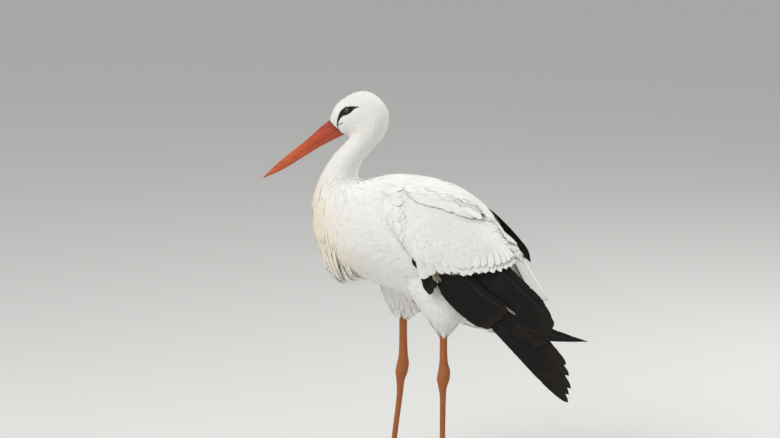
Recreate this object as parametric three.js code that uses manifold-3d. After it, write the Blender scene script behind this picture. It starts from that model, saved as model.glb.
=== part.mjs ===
// A white stork at life size, standing with one foot forward and its left wing hanging slack.
//
// Frame: millimetres, +Z up. The stork faces -X and its left side is -Y, so it is seen in left
// profile when looking along +Y. It stands on the floor, z = 0, and the last lines centre it on
// the middle of its outline seen from above.
//
// Every soft form is a loft through named cross-sections. A section gives the top and the under
// point of the outline and how far the form reaches to either side of the line between them, so
// the profile of the bird can be read straight off the numbers. Flight feathers are flat vanes cut
// out of thin curved layers that lie over each other like the leaves of a fan.

import * as THREE from "three";
import { mergeVertices } from "three/addons/utils/BufferGeometryUtils.js";
import Module from "manifold-3d";

const wasm = await Module();
wasm.setup();

// ---------------------------------------------------------------- driving dimensions

const GAP = 0.3; // clearance between neighbouring pieces
const SLIVER = 0.05; // facets finer than this are merged
const ROUND = 20; // sides of the body's cross-sections
const LIMB_ROUND = 10; // sides of a leg's cross-sections
const LEFT = -1;
const RIGHT = 1;

// The body from the bill's root to the tail's root: profile points as [x, z], and half breadth.
const BODY = [
  { at: "bill root", top: [-113, 678], under: [-83, 654], half: 12.5 },
  { at: "forehead", top: [-98, 709], under: [-79, 653], half: 22 },
  { at: "crown", top: [-65, 730], under: [-76, 652], half: 28 },
  { at: "hind crown", top: [-33, 731], under: [-75, 651], half: 30 },
  { at: "occiput", top: [-6, 706], under: [-75, 650], half: 30 },
  { at: "nape", top: [-2, 679], under: [-76, 648], half: 30 },
  { at: "throat", top: [-13, 651], under: [-79, 644], half: 28.5 },
  { at: "upper neck", top: [-45, 615], under: [-100, 621], half: 26 },
  { at: "middle neck", top: [-56, 597], under: [-115, 601], half: 26.5 },
  { at: "lower neck", top: [-60, 580], under: [-128, 579], half: 29 },
  { at: "neck root", top: [-58, 571], under: [-138, 553], half: 36 },
  { at: "shoulder", top: [-50, 569], under: [-144, 526], half: 46 },
  { at: "upper breast", top: [-34, 572], under: [-141, 485], half: 58 },
  { at: "breast", top: [-13, 578], under: [-131, 458], half: 66 },
  { at: "lower breast", top: [9, 583], under: [-117, 429], half: 72 },
  { at: "keel", top: [33, 584], under: [-92, 407], half: 77 },
  { at: "fore belly", top: [59, 583], under: [-58, 396], half: 80 },
  { at: "belly", top: [89, 578], under: [-19, 384], half: 81 },
  { at: "hind belly", top: [120, 568], under: [28, 365], half: 80 },
  { at: "loin", top: [148, 552], under: [75, 344], half: 75 },
  { at: "hip", top: [176, 528], under: [130, 321], half: 66 },
  { at: "rump", top: [199, 500], under: [181, 309], half: 52 },
  { at: "vent", top: [220, 471], under: [212, 315], half: 40 },
  { at: "under-tail", top: [236, 440], under: [237, 338], half: 31 },
  { at: "tail root", top: [248, 412], under: [254, 366], half: 24 },
];
const THROAT = 6; // the section where the head ends
const MID_NECK = 8; // where the neck is parted
const SHOULDER = 11; // where the neck meets the trunk
const LAST = BODY.length - 1;

// The bill, from its root to its tip, with the line on which it opens.
const BILL = [
  { top: [-113, 678], under: [-83, 654], half: 12.5 },
  { top: [-127, 667], under: [-101, 645], half: 11.3 },
  { top: [-157, 640], under: [-134, 627], half: 8.6 },
  { top: [-187, 616], under: [-170, 604], half: 6.2 },
  { top: [-214, 593], under: [-204, 583], half: 3.9 },
  { top: [-237, 571], under: [-238, 567.5], half: 1 },
];
const GAPE = { root: [-94, 663], tip: [-240, 569] };

const EYE = { x: -72, z: 701, out: 23.4, radius: 5.6 };

// Loose feathers that hang from the breast: root and tip as [x, z], and their place across.
const PLUME = [
  { y: 0, root: [-112, 438], tip: [-99, 381] },
  { y: -13, root: [-112, 436], tip: [-107, 389] },
  { y: 13, root: [-110, 436], tip: [-104, 386] },
  { y: -24, root: [-98, 432], tip: [-88, 388] },
  { y: 24, root: [-98, 432], tip: [-90, 387] },
  { y: -8, root: [-88, 424], tip: [-76, 391] },
  { y: 9, root: [-88, 424], tip: [-79, 388] },
];

// The tail fan, from its root to its tip, with half breadth.
const TAIL = [
  { at: [219, 468], half: 20 },
  { at: [237, 447], half: 26 },
  { at: [257, 414], half: 32 },
  { at: [273, 384], half: 34 },
  { at: [281, 368], half: 30 },
  { at: [286, 358], half: 16 },
];
const TAIL_THICK = { above: 4, below: 3 };

// The left fore-arm with its white coverts: [x, distance from the middle, z] of both edges.
const ARM = [
  { top: [-24, 32, 538], under: [-10, 42, 514], out: 8, inner: 3 },
  { top: [14, 43, 560], under: [36, 76, 488], out: 25, inner: 6 },
  { top: [52, 42, 569], under: [78, 87, 432], out: 32, inner: 8 },
  { top: [100, 37, 565], under: [122, 90, 429], out: 32, inner: 8 },
  { top: [144, 30, 548], under: [176, 89, 431], out: 27, inner: 8 },
  { top: [178, 28, 526], under: [216, 83, 438], out: 20, inner: 6 },
  { top: [202, 28, 504], under: [240, 73, 448], out: 10, inner: 4 },
  { top: [216, 34, 490], under: [249, 64, 458], out: 3, inner: 2 },
];
// The right one is folded tighter: the same length from the shoulder, foreshortened.
const FOLDED = 0.86;

// The curved sheet on which the flight feathers lie, as the side of an ellipsoid.
const SHEET = { x: 110, z: 440, along: 420, out: 95, up: 300, down: 480, facets: 36 };
// How far below that sheet each group of feathers lies: its outer and inner face.
const LAYER = {
  coverts: [-1.5, 1.5],
  alula: [2, 4.5],
  handCoverts: [5, 8],
  secondaries: [8.5, 11.5],
  primaries: [12, 15],
};

// Flight feathers. Roots lie on a line and tips on a curve, both as [x, z], first to last.
const WINGS = {
  left: {
    side: LEFT,
    primaries: {
      roots: [[100, 448], [116, 452]],
      tips: [[345, 205], [348, 231], [336, 268], [309, 303]],
      count: 6, width: 25, bow: -6,
    },
    hand_coverts: {
      roots: [[110, 425], [150, 440]],
      tips: [[208, 331], [240, 364]],
      count: 4, width: 26, bow: 8,
    },
    secondaries: {
      roots: [[207, 472], [120, 448]],
      tips: [[305, 376], [316, 350], [314, 322], [290, 300], [212, 344]],
      count: 9, width: 32, bow: -4,
    },
    alula: { root: [90, 446], tip: [100, 385], width: 25, bow: 3 },
    // one long feather has slipped out of the fold and points back
    strayed: { root: [248, 336], tip: [377, 311], width: 30, bow: 2, sharp: true },
  },
  right: {
    side: RIGHT,
    primaries: {
      roots: [[66, 444], [82, 448]],
      tips: [[290, 206], [291, 230], [280, 254], [262, 276]],
      count: 6, width: 27, bow: -4,
    },
    hand_coverts: {
      roots: [[78, 426], [116, 442]],
      tips: [[166, 328], [200, 350]],
      count: 4, width: 24, bow: 6,
    },
    secondaries: {
      roots: [[176, 464], [98, 452]],
      tips: [[248, 384], [262, 356], [264, 328], [240, 302], [184, 336]],
      count: 9, width: 30, bow: -3,
    },
    alula: { root: [66, 446], tip: [80, 392], width: 22, bow: 3 },
  },
};
// White covert tips that overhang the flight feathers, along the lower edge of the fore-arm.
const COVERTS = { from: [90, 424], to: [234, 447], sag: 4, count: 10, length: 24, width: 24 };
// Long black inner feathers of the right wing, which lie over the side of the rump.
const TERTIALS = [
  { top: [140, 38, 545], under: [138, 60, 505], half: 1.2 },
  { top: [176, 41, 517], under: [166, 62, 482], half: 1.6 },
  { top: [199, 41, 497], under: [186, 62, 462], half: 1.6 },
  { top: [222, 42, 474], under: [208, 60, 446], half: 1.6 },
  { top: [244, 43, 449], under: [231, 56, 432], half: 1.4 },
  { top: [251, 45, 430], under: [247, 49, 424], half: 0.8 },
];

// The feathered thighs, front and back points as [x, z], at their distance from the middle.
const THIGHS = {
  left: [
    { top: [34, 434], under: [150, 418], half: 32, out: 36 },
    { top: [44, 392], under: [151, 374], half: 32, out: 43 },
    { top: [66, 356], under: [144, 338], half: 27, out: 43 },
    { top: [87, 328], under: [131, 320], half: 18, out: 40 },
    { top: [102, 307], under: [118, 305], half: 8, out: 38 },
  ],
  right: [
    { top: [-34, 436], under: [80, 424], half: 32, out: 36 },
    { top: [-33, 396], under: [77, 380], half: 32, out: 43 },
    { top: [-25, 357], under: [58, 347], half: 27, out: 43 },
    { top: [-14, 329], under: [36, 330], half: 18, out: 40 },
    { top: [1, 306], under: [20, 308], half: 8.5, out: 38 },
  ],
};

// The bare legs at LEG_OUT from the middle: front and back x at each height, and half breadth.
const LEG_OUT = 38;
const TIBIA_END = 254; // height where the shank meets the ankle joint
const LEGS = {
  left: [
    { z: 312, front: 102.5, back: 116.5, half: 6 },
    { z: 280, front: 102.5, back: 116, half: 5.6 },
    { z: 254, front: 102, back: 117.5, half: 6.4 },
    { z: 238, front: 100, back: 121.5, half: 9 },
    { z: 222, front: 97.5, back: 120.5, half: 9.5 },
    { z: 206, front: 100.5, back: 115.5, half: 7 },
    { z: 184, front: 103, back: 114, half: 5 },
    { z: 120, front: 103, back: 113, half: 4.8 },
    { z: 50, front: 102.5, back: 113.5, half: 5 },
    { z: 22, front: 99, back: 116, half: 7.5 },
    { z: 9, front: 99, back: 116, half: 7.5 },
  ],
  right: [
    { z: 312, front: 7.5, back: 22, half: 6 },
    { z: 280, front: 7.5, back: 22, half: 5.6 },
    { z: 247, front: 6.5, back: 23.5, half: 6.4 },
    { z: 231, front: 3.5, back: 25.5, half: 9 },
    { z: 214, front: 0.5, back: 23, half: 9.5 },
    { z: 198, front: 2, back: 17.5, half: 7 },
    { z: 170, front: 2.5, back: 13.8, half: 5 },
    { z: 110, front: -4.5, back: 5.8, half: 4.8 },
    { z: 50, front: -12, back: -1.2, half: 5 },
    { z: 22, front: -18.5, back: -1.5, half: 7.5 },
    { z: 9, front: -19.5, back: -2.5, half: 7.5 },
  ],
};

// Toes from inner to outer, then the hind toe: heading from straight ahead, length, thickness.
const TOES = [
  { heading: -33, length: 58, thick: 10 },
  { heading: 0, length: 75, thick: 11 },
  { heading: 32, length: 64, thick: 10 },
  { heading: 168, length: 27, thick: 8.5 },
];
const WEB = { reach: 0.42, low: 2.6, high: 5.4 }; // skin between the front toes
const CLAW = { length: 11, width: 6, height: 4.6 };
const FOOT_FLAT = 1; // depth cut off below, which leaves a narrow sole on each toe

// ---------------------------------------------------------------- materials

const plumage = (colour) =>
  new THREE.MeshStandardMaterial({ color: colour, roughness: 0.85, metalness: 0 });
const MATERIAL = {
  white: plumage(0xf1eee6),
  black: new THREE.MeshStandardMaterial({ color: 0x131416, roughness: 0.5, metalness: 0 }),
  bill: new THREE.MeshStandardMaterial({ color: 0xc23c17, roughness: 0.45, metalness: 0 }),
  leg: new THREE.MeshStandardMaterial({ color: 0xb0431f, roughness: 0.6, metalness: 0 }),
  eye: new THREE.MeshStandardMaterial({ color: 0x140f0c, roughness: 0.08, metalness: 0 }),
  claw: new THREE.MeshStandardMaterial({ color: 0x3a2a22, roughness: 0.5, metalness: 0 }),
};

// ---------------------------------------------------------------- solids

// A closed three.js geometry as a solid that faces out.
function solidOf(geometry) {
  const bare = geometry.clone();
  bare.deleteAttribute("normal");
  bare.deleteAttribute("uv");
  const merged = mergeVertices(bare, 1e-3);
  const make = (triVerts) =>
    new wasm.Manifold(
      new wasm.Mesh({
        numProp: 3,
        vertProperties: new Float32Array(merged.attributes.position.array),
        triVerts,
      }),
    );
  const triVerts = new Uint32Array(merged.index.array);
  const solid = make(triVerts);
  return solid.volume() < 0 ? make(triVerts.reverse()) : solid;
}

function geometryOf(solid) {
  const mesh = solid.getMesh();
  const count = mesh.numProp;
  const places = [];
  for (let i = 0; i < mesh.vertProperties.length; i += count)
    places.push(...mesh.vertProperties.subarray(i, i + 3));
  const geometry = new THREE.BufferGeometry();
  geometry.setAttribute("position", new THREE.Float32BufferAttribute(places, 3));
  geometry.setIndex(Array.from(mesh.triVerts));
  geometry.computeVertexNormals();
  return geometry;
}

const joined = (solids) => solids.reduce((whole, next) => whole.add(next));
const cutBy = (solid, cutters) => cutters.reduce((left, next) => left.subtract(next), solid);
const largest = (solid) =>
  solid.decompose().reduce((best, next) => (next.volume() > best.volume() ? next : best));

// A block between two corners.
function block(low, high) {
  const size = new THREE.Vector3().subVectors(high, low);
  const box = new THREE.BoxGeometry(size.x, size.y, size.z);
  return solidOf(box.translate(...new THREE.Vector3().addVectors(low, high).multiplyScalar(0.5)));
}

// A smooth curve through points, at one parameter step from each point to the next.
const through = (points) => new THREE.CatmullRomCurve3(points, false, "catmullrom", 0.5);

// A solid through sections of { top, under, out, inner }: two edge points, and how far the form
// bulges to either side of the line between them. `aside` is the side that `out` is on. `from` and
// `to` are places along the list of sections, in sections, and `grow` swells the form.
function loft(sections, aside, { steps, sides, from = 0, to = sections.length - 1, grow = 0 }) {
  const tops = through(sections.map((s) => s.top));
  const unders = through(sections.map((s) => s.under));
  const bulges = through(sections.map((s) => new THREE.Vector3(s.out, s.inner, 0)));
  const places = [];
  const faces = [];
  for (let i = 0; i <= steps; i++) {
    const t = (from + ((to - from) * i) / steps) / (sections.length - 1);
    const top = tops.getPoint(t);
    const under = unders.getPoint(t);
    const bulge = bulges.getPoint(t);
    const half = new THREE.Vector3().subVectors(top, under).multiplyScalar(0.5);
    const middle = new THREE.Vector3().addVectors(top, under).multiplyScalar(0.5);
    const across = aside.clone().addScaledVector(half, -aside.dot(half) / half.lengthSq());
    across.normalize();
    half.setLength(half.length() + grow);
    for (let j = 0; j < sides; j++) {
      const angle = (2 * Math.PI * j) / sides;
      const reach = Math.sin(angle) * ((Math.sin(angle) > 0 ? bulge.x : bulge.y) + grow);
      const point = middle.clone().addScaledVector(half, Math.cos(angle));
      places.push(point.addScaledVector(across, reach));
    }
  }
  for (let i = 0; i < steps; i++)
    for (let j = 0; j < sides; j++) {
      const [a, b] = [i * sides + j, i * sides + ((j + 1) % sides)];
      faces.push(a, b, b + sides, a, b + sides, a + sides);
    }
  const last = steps * sides;
  for (let j = 1; j < sides - 1; j++) {
    faces.push(0, j + 1, j);
    faces.push(last, last + j, last + j + 1);
  }
  const geometry = new THREE.BufferGeometry().setFromPoints(places);
  geometry.setIndex(faces);
  return solidOf(geometry);
}

// A feather's outline in the x-z plane: narrow at the quill, then parallel, with a rounded tip, or
// a long point if it is sharp. `bow` pushes its middle down and forward.
function vaneShape({ root, tip, width, bow, sharp = false, steps = 10 }) {
  const start = new THREE.Vector2(...root);
  const axis = new THREE.Vector2(...tip).sub(start);
  const down = new THREE.Vector2(axis.y, -axis.x).normalize();
  const tipFrom = sharp ? 0.3 : 0.72;
  const edge = (side) =>
    Array.from({ length: steps }, (_, i) => {
      const t = (i + 0.5) / steps;
      const swell = Math.min(1, 0.35 + 2.6 * t);
      const point = start.clone().addScaledVector(axis, t);
      const near = Math.max(0, (t - tipFrom) / (1 - tipFrom));
      const round = sharp ? 1 - near ** 1.2 : Math.sqrt(1 - near ** 2);
      const reach = bow * 4 * t * (1 - t) + (side * width * swell * round) / 2;
      return point.addScaledVector(down, reach);
    });
  return new THREE.Shape([start, ...edge(1), new THREE.Vector2(...tip), ...edge(-1).reverse()]);
}

// A flat outline in the x-z plane as a slab that spans one whole side of the bird.
function slab(shape) {
  const depth = 400;
  const geometry = new THREE.ExtrudeGeometry(shape, { depth, bevelEnabled: false });
  return solidOf(geometry.rotateX(Math.PI / 2).translate(0, depth / 2, 0));
}

// The ellipsoid of the feather sheet, drawn in by `depth`.
function dome(depth) {
  const geometry = new THREE.SphereGeometry(1, SHEET.facets, SHEET.facets / 2);
  const place = geometry.attributes.position;
  for (let i = 0; i < place.count; i++) {
    const tall = place.getZ(i) > 0 ? SHEET.up : SHEET.down;
    place.setXYZ(
      i,
      SHEET.x + place.getX(i) * (SHEET.along - depth),
      place.getY(i) * (SHEET.out - depth),
      SHEET.z + place.getZ(i) * (tall - depth),
    );
  }
  return solidOf(geometry);
}

function layer([outer, inner], side) {
  const far = 500;
  const half = block(
    new THREE.Vector3(-far, side > 0 ? 1 : -far, -far),
    new THREE.Vector3(far * 2, side > 0 ? far : -1, far * 2),
  );
  return dome(outer).subtract(dome(inner)).intersect(half);
}

// ---------------------------------------------------------------- body

const stork = new THREE.Group();

function add(name, solid, material) {
  const mesh = new THREE.Mesh(geometryOf(solid.simplify(SLIVER)), material);
  mesh.name = name;
  stork.add(mesh);
}

const TO_LEFT = new THREE.Vector3(0, -1, 0);
const flat = ([x, z], y = 0) => new THREE.Vector3(x, y, z);
const inProfile = (rows, y = 0) =>
  rows.map((r) => ({
    top: flat(r.top, y), under: flat(r.under, y), out: r.half, inner: r.half,
  }));

const bodySections = inProfile(BODY);
const lengthOf = (a, b, steps, grow = 0) =>
  loft(bodySections, TO_LEFT, { steps, sides: ROUND, from: a, to: b, grow });
const TRUNK_STEPS = 18;
const trunkKeepOut = lengthOf(SHOULDER, LAST, TRUNK_STEPS, GAP);
const STEP_GAP = 0.05; // a gap between lengths of the body, in sections

function eyes() {
  for (const [name, side] of [["eye_left", LEFT], ["eye_right", RIGHT]]) {
    const ball = (grow) => {
      const sphere = new THREE.SphereGeometry(EYE.radius + grow, 12, 8);
      return solidOf(sphere.translate(EYE.x, side * EYE.out, EYE.z));
    };
    add(name, ball(0), MATERIAL.eye);
    sockets.push(ball(GAP));
  }
}

function bill() {
  const sections = inProfile(BILL);
  const whole = loft(sections, TO_LEFT, { steps: 9, sides: 14, from: STEP_GAP });
  const [x0, z0] = GAPE.root;
  const [x1, z1] = GAPE.tip;
  const far = 60;
  const half = (lift, turn) =>
    slab(
      new THREE.Shape([
        new THREE.Vector2(x0 + far, z0 + (far * (z1 - z0)) / (x1 - x0) + lift),
        new THREE.Vector2(x1, z1 + lift),
        new THREE.Vector2(x1, z1 + turn * 3 * far),
        new THREE.Vector2(x0 + far, z0 + turn * 3 * far),
      ]),
    );
  add("bill_upper", largest(whole.intersect(half(GAP / 2, 1))), MATERIAL.bill);
  add("bill_lower", largest(whole.intersect(half(-GAP / 2, -1))), MATERIAL.bill);
}

function wisp({ y, root, tip }) {
  const along = (t, width) => {
    const [x, z] = [0, 1].map((k) => root[k] + (tip[k] - root[k]) * t);
    return { top: flat([x - width, z], y), under: flat([x + width, z], y), out: width, inner: width };
  };
  return loft([along(0, 9), along(0.5, 7), along(0.85, 3.5), along(1, 0.6)], TO_LEFT, {
    steps: 4,
    sides: 6,
  });
}

function tailOf(grow) {
  const sections = TAIL.map(({ at, half }) => ({
    top: flat(at, -half), under: flat(at, half), out: TAIL_THICK.above, inner: TAIL_THICK.below,
  }));
  return loft(sections, new THREE.Vector3(1, 0, 0.6), { steps: 9, sides: 12, grow });
}

function thigh(name, grow) {
  const side = WINGS[name].side;
  const sections = THIGHS[name].map((r) => ({
    top: flat(r.top, side * r.out), under: flat(r.under, side * r.out), out: r.half, inner: r.half,
  }));
  return loft(sections, TO_LEFT, { steps: 6, sides: 16, grow });
}

// ---------------------------------------------------------------- wings

function wing(name) {
  const { side, alula, strayed, ...fans } = WINGS[name];
  const fold = side === RIGHT ? FOLDED : 1;
  const place = ([x, out, z]) => new THREE.Vector3(x * fold, side * out, z);
  const sectionsOf = (rows) =>
    rows.map((r) => ({ top: place(r.top), under: place(r.under), out: r.out, inner: r.inner }));
  const outward = new THREE.Vector3(0, side, 0);
  const armOf = (grow) => loft(sectionsOf(ARM), outward, { steps: 11, sides: 14, grow });
  const rim = [...ARM.map((r) => r.top), ...ARM.map((r) => r.under).reverse()];
  const overArm = slab(
    new THREE.Shape(rim.map(([x, , z]) => new THREE.Vector2(x * fold, z - GAP))),
  );
  const keepOut = [trunkKeepOut, thigh(name, GAP)];
  const vanes = (list) => joined(list.map((v) => slab(vaneShape(v))));
  const feathers = (list, depth) =>
    largest(
      cutBy(vanes(list).intersect(layer(depth, side)), [overArm, armOf(GAP), ...keepOut]),
    );

  const tips = Array.from({ length: COVERTS.count }, (_, i) => {
    const t = i / (COVERTS.count - 1);
    const [x, z] = between([COVERTS.from, COVERTS.to], t);
    const low = z - COVERTS.sag * Math.sin(Math.PI * t);
    const [from, to] = [[x * fold, low + COVERTS.length], [x * fold, low]];
    return { root: from, tip: to, width: COVERTS.width, bow: 0, steps: 7 };
  });
  const coverts = vanes(tips).intersect(layer(LAYER.coverts, side));
  const arm = largest(cutBy(armOf(0).add(coverts), keepOut));
  add(`wing_${name}_arm`, arm, MATERIAL.white);

  const secondaries = [...fan(fans.secondaries), ...(strayed ? [strayed] : [])];
  const groups = {
    primaries: feathers(fan(fans.primaries), LAYER.primaries),
    secondaries: feathers(secondaries, LAYER.secondaries),
    hand_coverts: feathers(fan(fans.hand_coverts), LAYER.handCoverts),
    alula: feathers([alula], LAYER.alula),
  };
  for (const [kind, solid] of Object.entries(groups))
    add(`wing_${name}_${kind}`, solid, MATERIAL.black);
}

const between = ([a, b], t) => [0, 1].map((k) => a[k] + (b[k] - a[k]) * t);

// Feathers spread evenly between the first and the last of a group.
function fan({ roots, tips, count, width, bow }) {
  const ends = through(tips.map((p) => flat(p)));
  return Array.from({ length: count }, (_, i) => {
    const t = i / (count - 1);
    const end = ends.getPoint(t);
    return { root: between(roots, t), tip: [end.x, end.z], width, bow };
  });
}

function tertials() {
  const sections = TERTIALS.map(({ top, under, half }) => ({
    top: new THREE.Vector3(...top), under: new THREE.Vector3(...under), out: half, inner: half,
  }));
  const arm = ARM.map((r) => ({
    top: new THREE.Vector3(r.top[0] * FOLDED, r.top[1], r.top[2]),
    under: new THREE.Vector3(r.under[0] * FOLDED, r.under[1], r.under[2]),
    out: r.out,
    inner: r.inner,
  }));
  const outward = new THREE.Vector3(0, 1, 0);
  const keepOut = [
    trunkKeepOut,
    loft(arm, outward, { steps: 11, sides: 14, grow: GAP }),
    tailOf(GAP),
  ];
  const blade = loft(sections, new THREE.Vector3(0.5, -1, 0.5), { steps: 7, sides: 6 });
  add("wing_right_tertials", largest(cutBy(blade, keepOut)), MATERIAL.black);
}

// ---------------------------------------------------------------- legs and feet

function leg(name) {
  const side = WINGS[name].side;
  const rows = LEGS[name];
  const sections = rows.map(({ z, front, back, half }) => ({
    top: flat([front, z], side * LEG_OUT), under: flat([back, z], side * LEG_OUT),
    out: half, inner: half,
  }));
  const joint = rows.findIndex((r) => r.z <= TIBIA_END);
  const length = (from, to, steps) =>
    loft(sections, TO_LEFT, { steps, sides: LIMB_ROUND, from, to });
  const feathered = thigh(name, 0).subtract(trunkKeepOut);
  add(`thigh_${name}`, largest(cutBy(feathered, [length(0, joint, 4)])), MATERIAL.white);
  const shank = length(0, joint - STEP_GAP, 5);
  add(`shank_${name}`, largest(cutBy(shank, [thigh(name, GAP)])), MATERIAL.leg);
  add(`tarsus_${name}`, length(joint, rows.length - 2 - STEP_GAP, 14), MATERIAL.leg);
  foot(name, side, rows[rows.length - 2], length(rows.length - 2, rows.length - 1, 1));
}

function foot(name, side, ankle, heel) {
  const from = new THREE.Vector3((ankle.front + ankle.back) / 2, side * LEG_OUT, 0);
  const bearing = (heading) => {
    const angle = THREE.MathUtils.degToRad(heading);
    return new THREE.Vector3(-Math.cos(angle), side * Math.sin(angle), 0);
  };
  const section = (way, t, length, low, high, half) => {
    const at = from.clone().addScaledVector(way, t * length);
    return { top: at.clone().setZ(high), under: at.clone().setZ(low), out: half, inner: half };
  };
  const pieces = [heel];
  const claws = [];
  TOES.forEach(({ heading, length, thick }, i) => {
    const way = bearing(heading);
    const aside = new THREE.Vector3(-way.y, way.x, 0);
    const row = (t, share) => {
      return section(way, t, length, -FOOT_FLAT, thick * share, (thick * share) / 2 + 0.4);
    };
    const rows = [row(0.02, 1.35), row(0.2, 1), row(0.4, 0.9), row(0.7, 0.85), row(1, 0.6)];
    pieces.push(loft(rows, aside, { steps: 5, sides: 8 }));
    const nail = (t, share) =>
      section(way, t, length, 0.4, 0.4 + CLAW.height * share, (CLAW.width * share) / 2);
    const end = 1 + CLAW.length / length;
    const rowsOfClaw = [nail(0.9, 1), nail(1, 1), nail((1 + end) / 2, 0.8), nail(end, 0.2)];
    claws.push(loft(rowsOfClaw, aside, { steps: 3, sides: 6 }));
    if (i === 0 || i === 1) pieces.push(web(from, way, bearing(TOES[i + 1].heading), length));
  });
  const floor = block(new THREE.Vector3(-900, -900, -90), new THREE.Vector3(900, 900, 0));
  const sole = joined(pieces).subtract(floor);
  add(`foot_${name}`, largest(sole), MATERIAL.leg);
  claws.forEach((claw, i) => {
    const clear = claw.subtract(sole).decompose();
    const ahead = (s) => new THREE.Vector3(...centreOf(s)).distanceTo(from);
    add(
      `claw_${name}_${i + 1}`,
      clear.reduce((best, next) => (ahead(next) > ahead(best) ? next : best)),
      MATERIAL.claw,
    );
  });
}

function centreOf(solid) {
  const { min, max } = solid.boundingBox();
  return min.map((low, k) => (low + max[k]) / 2);
}

// The skin that joins the roots of two toes.
function web(from, way, next, length) {
  const tip = (w) => from.clone().addScaledVector(w, length * WEB.reach);
  const [a, b] = [tip(way), tip(next)];
  const inner = from.clone().addScaledVector(way.clone().add(next).normalize(), length * 0.26);
  const points = [from, a, inner, b].map((p) => new THREE.Vector2(p.x, p.y));
  const depth = WEB.high - WEB.low;
  const geometry = new THREE.ExtrudeGeometry(new THREE.Shape(points), {
    depth,
    bevelEnabled: false,
  });
  return solidOf(geometry.translate(0, 0, WEB.low));
}

// ---------------------------------------------------------------- the whole bird

const sockets = [];
eyes();
bill();
add("head", largest(cutBy(lengthOf(0, THROAT - STEP_GAP, 11), sockets)), MATERIAL.white);
add("neck_upper", lengthOf(THROAT, MID_NECK - STEP_GAP, 6), MATERIAL.white);
add("neck_lower", lengthOf(MID_NECK, SHOULDER - STEP_GAP, 7), MATERIAL.white);
const plume = joined(PLUME.map(wisp));
add("trunk", lengthOf(SHOULDER, LAST, TRUNK_STEPS).add(plume), MATERIAL.white);
add("tail", largest(tailOf(0).subtract(trunkKeepOut)), MATERIAL.white);
wing("left");
wing("right");
tertials();
leg("left");
leg("right");

const outline = new THREE.Box3().setFromObject(stork);
const middle = outline.getCenter(new THREE.Vector3());
stork.position.set(-middle.x, -middle.y, 0);

export default stork;
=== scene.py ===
# %% [markdown]
# # A white stork in its feathers
#
# The frame holds a stork as plain solids at life size: head, neck, trunk, thighs, wings, legs.
# This lesson dresses it. One skin takes the place of the solids of flesh. A coat of many
# thousand small feathers grows from that skin, the flight feathers are laid one by one over the
# wings, and bill, eyes, legs and feet are made as fine surfaces of their own.
#
# Everything is worked out with numpy as whole arrays: a surface is a formula of two parameters,
# and a feather is a strip carried along a path. Modelling each feather by hand would take weeks,
# and particle hair would be lost when the bird is exported, so the formulas make real meshes.

# %% The frame
from functools import partial

import bmesh
import bpy
import numpy as np
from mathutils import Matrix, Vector


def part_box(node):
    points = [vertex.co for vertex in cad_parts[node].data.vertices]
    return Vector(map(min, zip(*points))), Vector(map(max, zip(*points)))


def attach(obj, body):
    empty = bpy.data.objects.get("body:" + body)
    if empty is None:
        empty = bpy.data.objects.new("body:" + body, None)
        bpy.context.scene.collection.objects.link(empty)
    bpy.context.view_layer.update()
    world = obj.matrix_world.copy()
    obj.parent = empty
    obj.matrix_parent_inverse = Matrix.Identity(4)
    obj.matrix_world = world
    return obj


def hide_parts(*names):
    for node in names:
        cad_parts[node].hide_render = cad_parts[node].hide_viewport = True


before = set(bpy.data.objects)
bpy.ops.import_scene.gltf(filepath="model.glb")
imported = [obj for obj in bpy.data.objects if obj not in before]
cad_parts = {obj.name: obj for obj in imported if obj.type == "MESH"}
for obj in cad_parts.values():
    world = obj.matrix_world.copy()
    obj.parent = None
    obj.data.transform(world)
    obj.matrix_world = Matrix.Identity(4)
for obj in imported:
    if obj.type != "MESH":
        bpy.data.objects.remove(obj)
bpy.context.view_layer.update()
random = np.random.default_rng(11)
print("solids in the frame:", len(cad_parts))

# %% [markdown]
# ## Millimetres of the bird
#
# A bird's proportions are easiest to read as millimetres in its own axes: it faces -X, its left
# side is -Y, and z is the height over the floor. The left eye ties these axes to the frame,
# because its place is known in both. Only the last step of every piece turns millimetres into
# metres.

# %% Axes
EYE = {"x": -72.0, "out": 23.4, "z": 701.0, "radius": 5.6}
LEFT, RIGHT = -1, 1
NAMES = {LEFT: "left", RIGHT: "right"}
eye_low, eye_high = (np.array(corner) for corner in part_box("eye_left"))
ORIGIN = 500 * (eye_low + eye_high) - [EYE["x"], LEFT * EYE["out"], EYE["z"]]


def metres(points):
    """Millimetres of the bird to metres of the frame."""
    return (np.asarray(points, float) + ORIGIN) / 1000


def unit(vectors):
    """Each vector over its own length."""
    return vectors / np.maximum(np.linalg.norm(vectors, axis=-1, keepdims=True), 1e-9)


def dot(a, b):
    """Scalar products, kept as a last axis of one."""
    return np.sum(a * b, axis=-1, keepdims=True)


def smooth(low, high, x):
    """0 below low, 1 above high, and 3t^2 - 2t^3 between them."""
    t = np.clip((x - low) / (high - low), 0, 1)
    return t * t * (3 - 2 * t)


def bump_at(x, centre, reach):
    """A bell: exp(-((x - centre) / reach)^2)."""
    return np.exp(-(((x - centre) / reach) ** 2))


print("the bird's axes start at", np.round(ORIGIN, 2), "mm")

# %% [markdown]
# ## A curve through known points
#
# All outlines are splines: cubic pieces through equally spaced values, where the slope at each
# value is half the step from the value before to the value after. This is what makes a dozen
# numbers read as one smooth back or neck.


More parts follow.
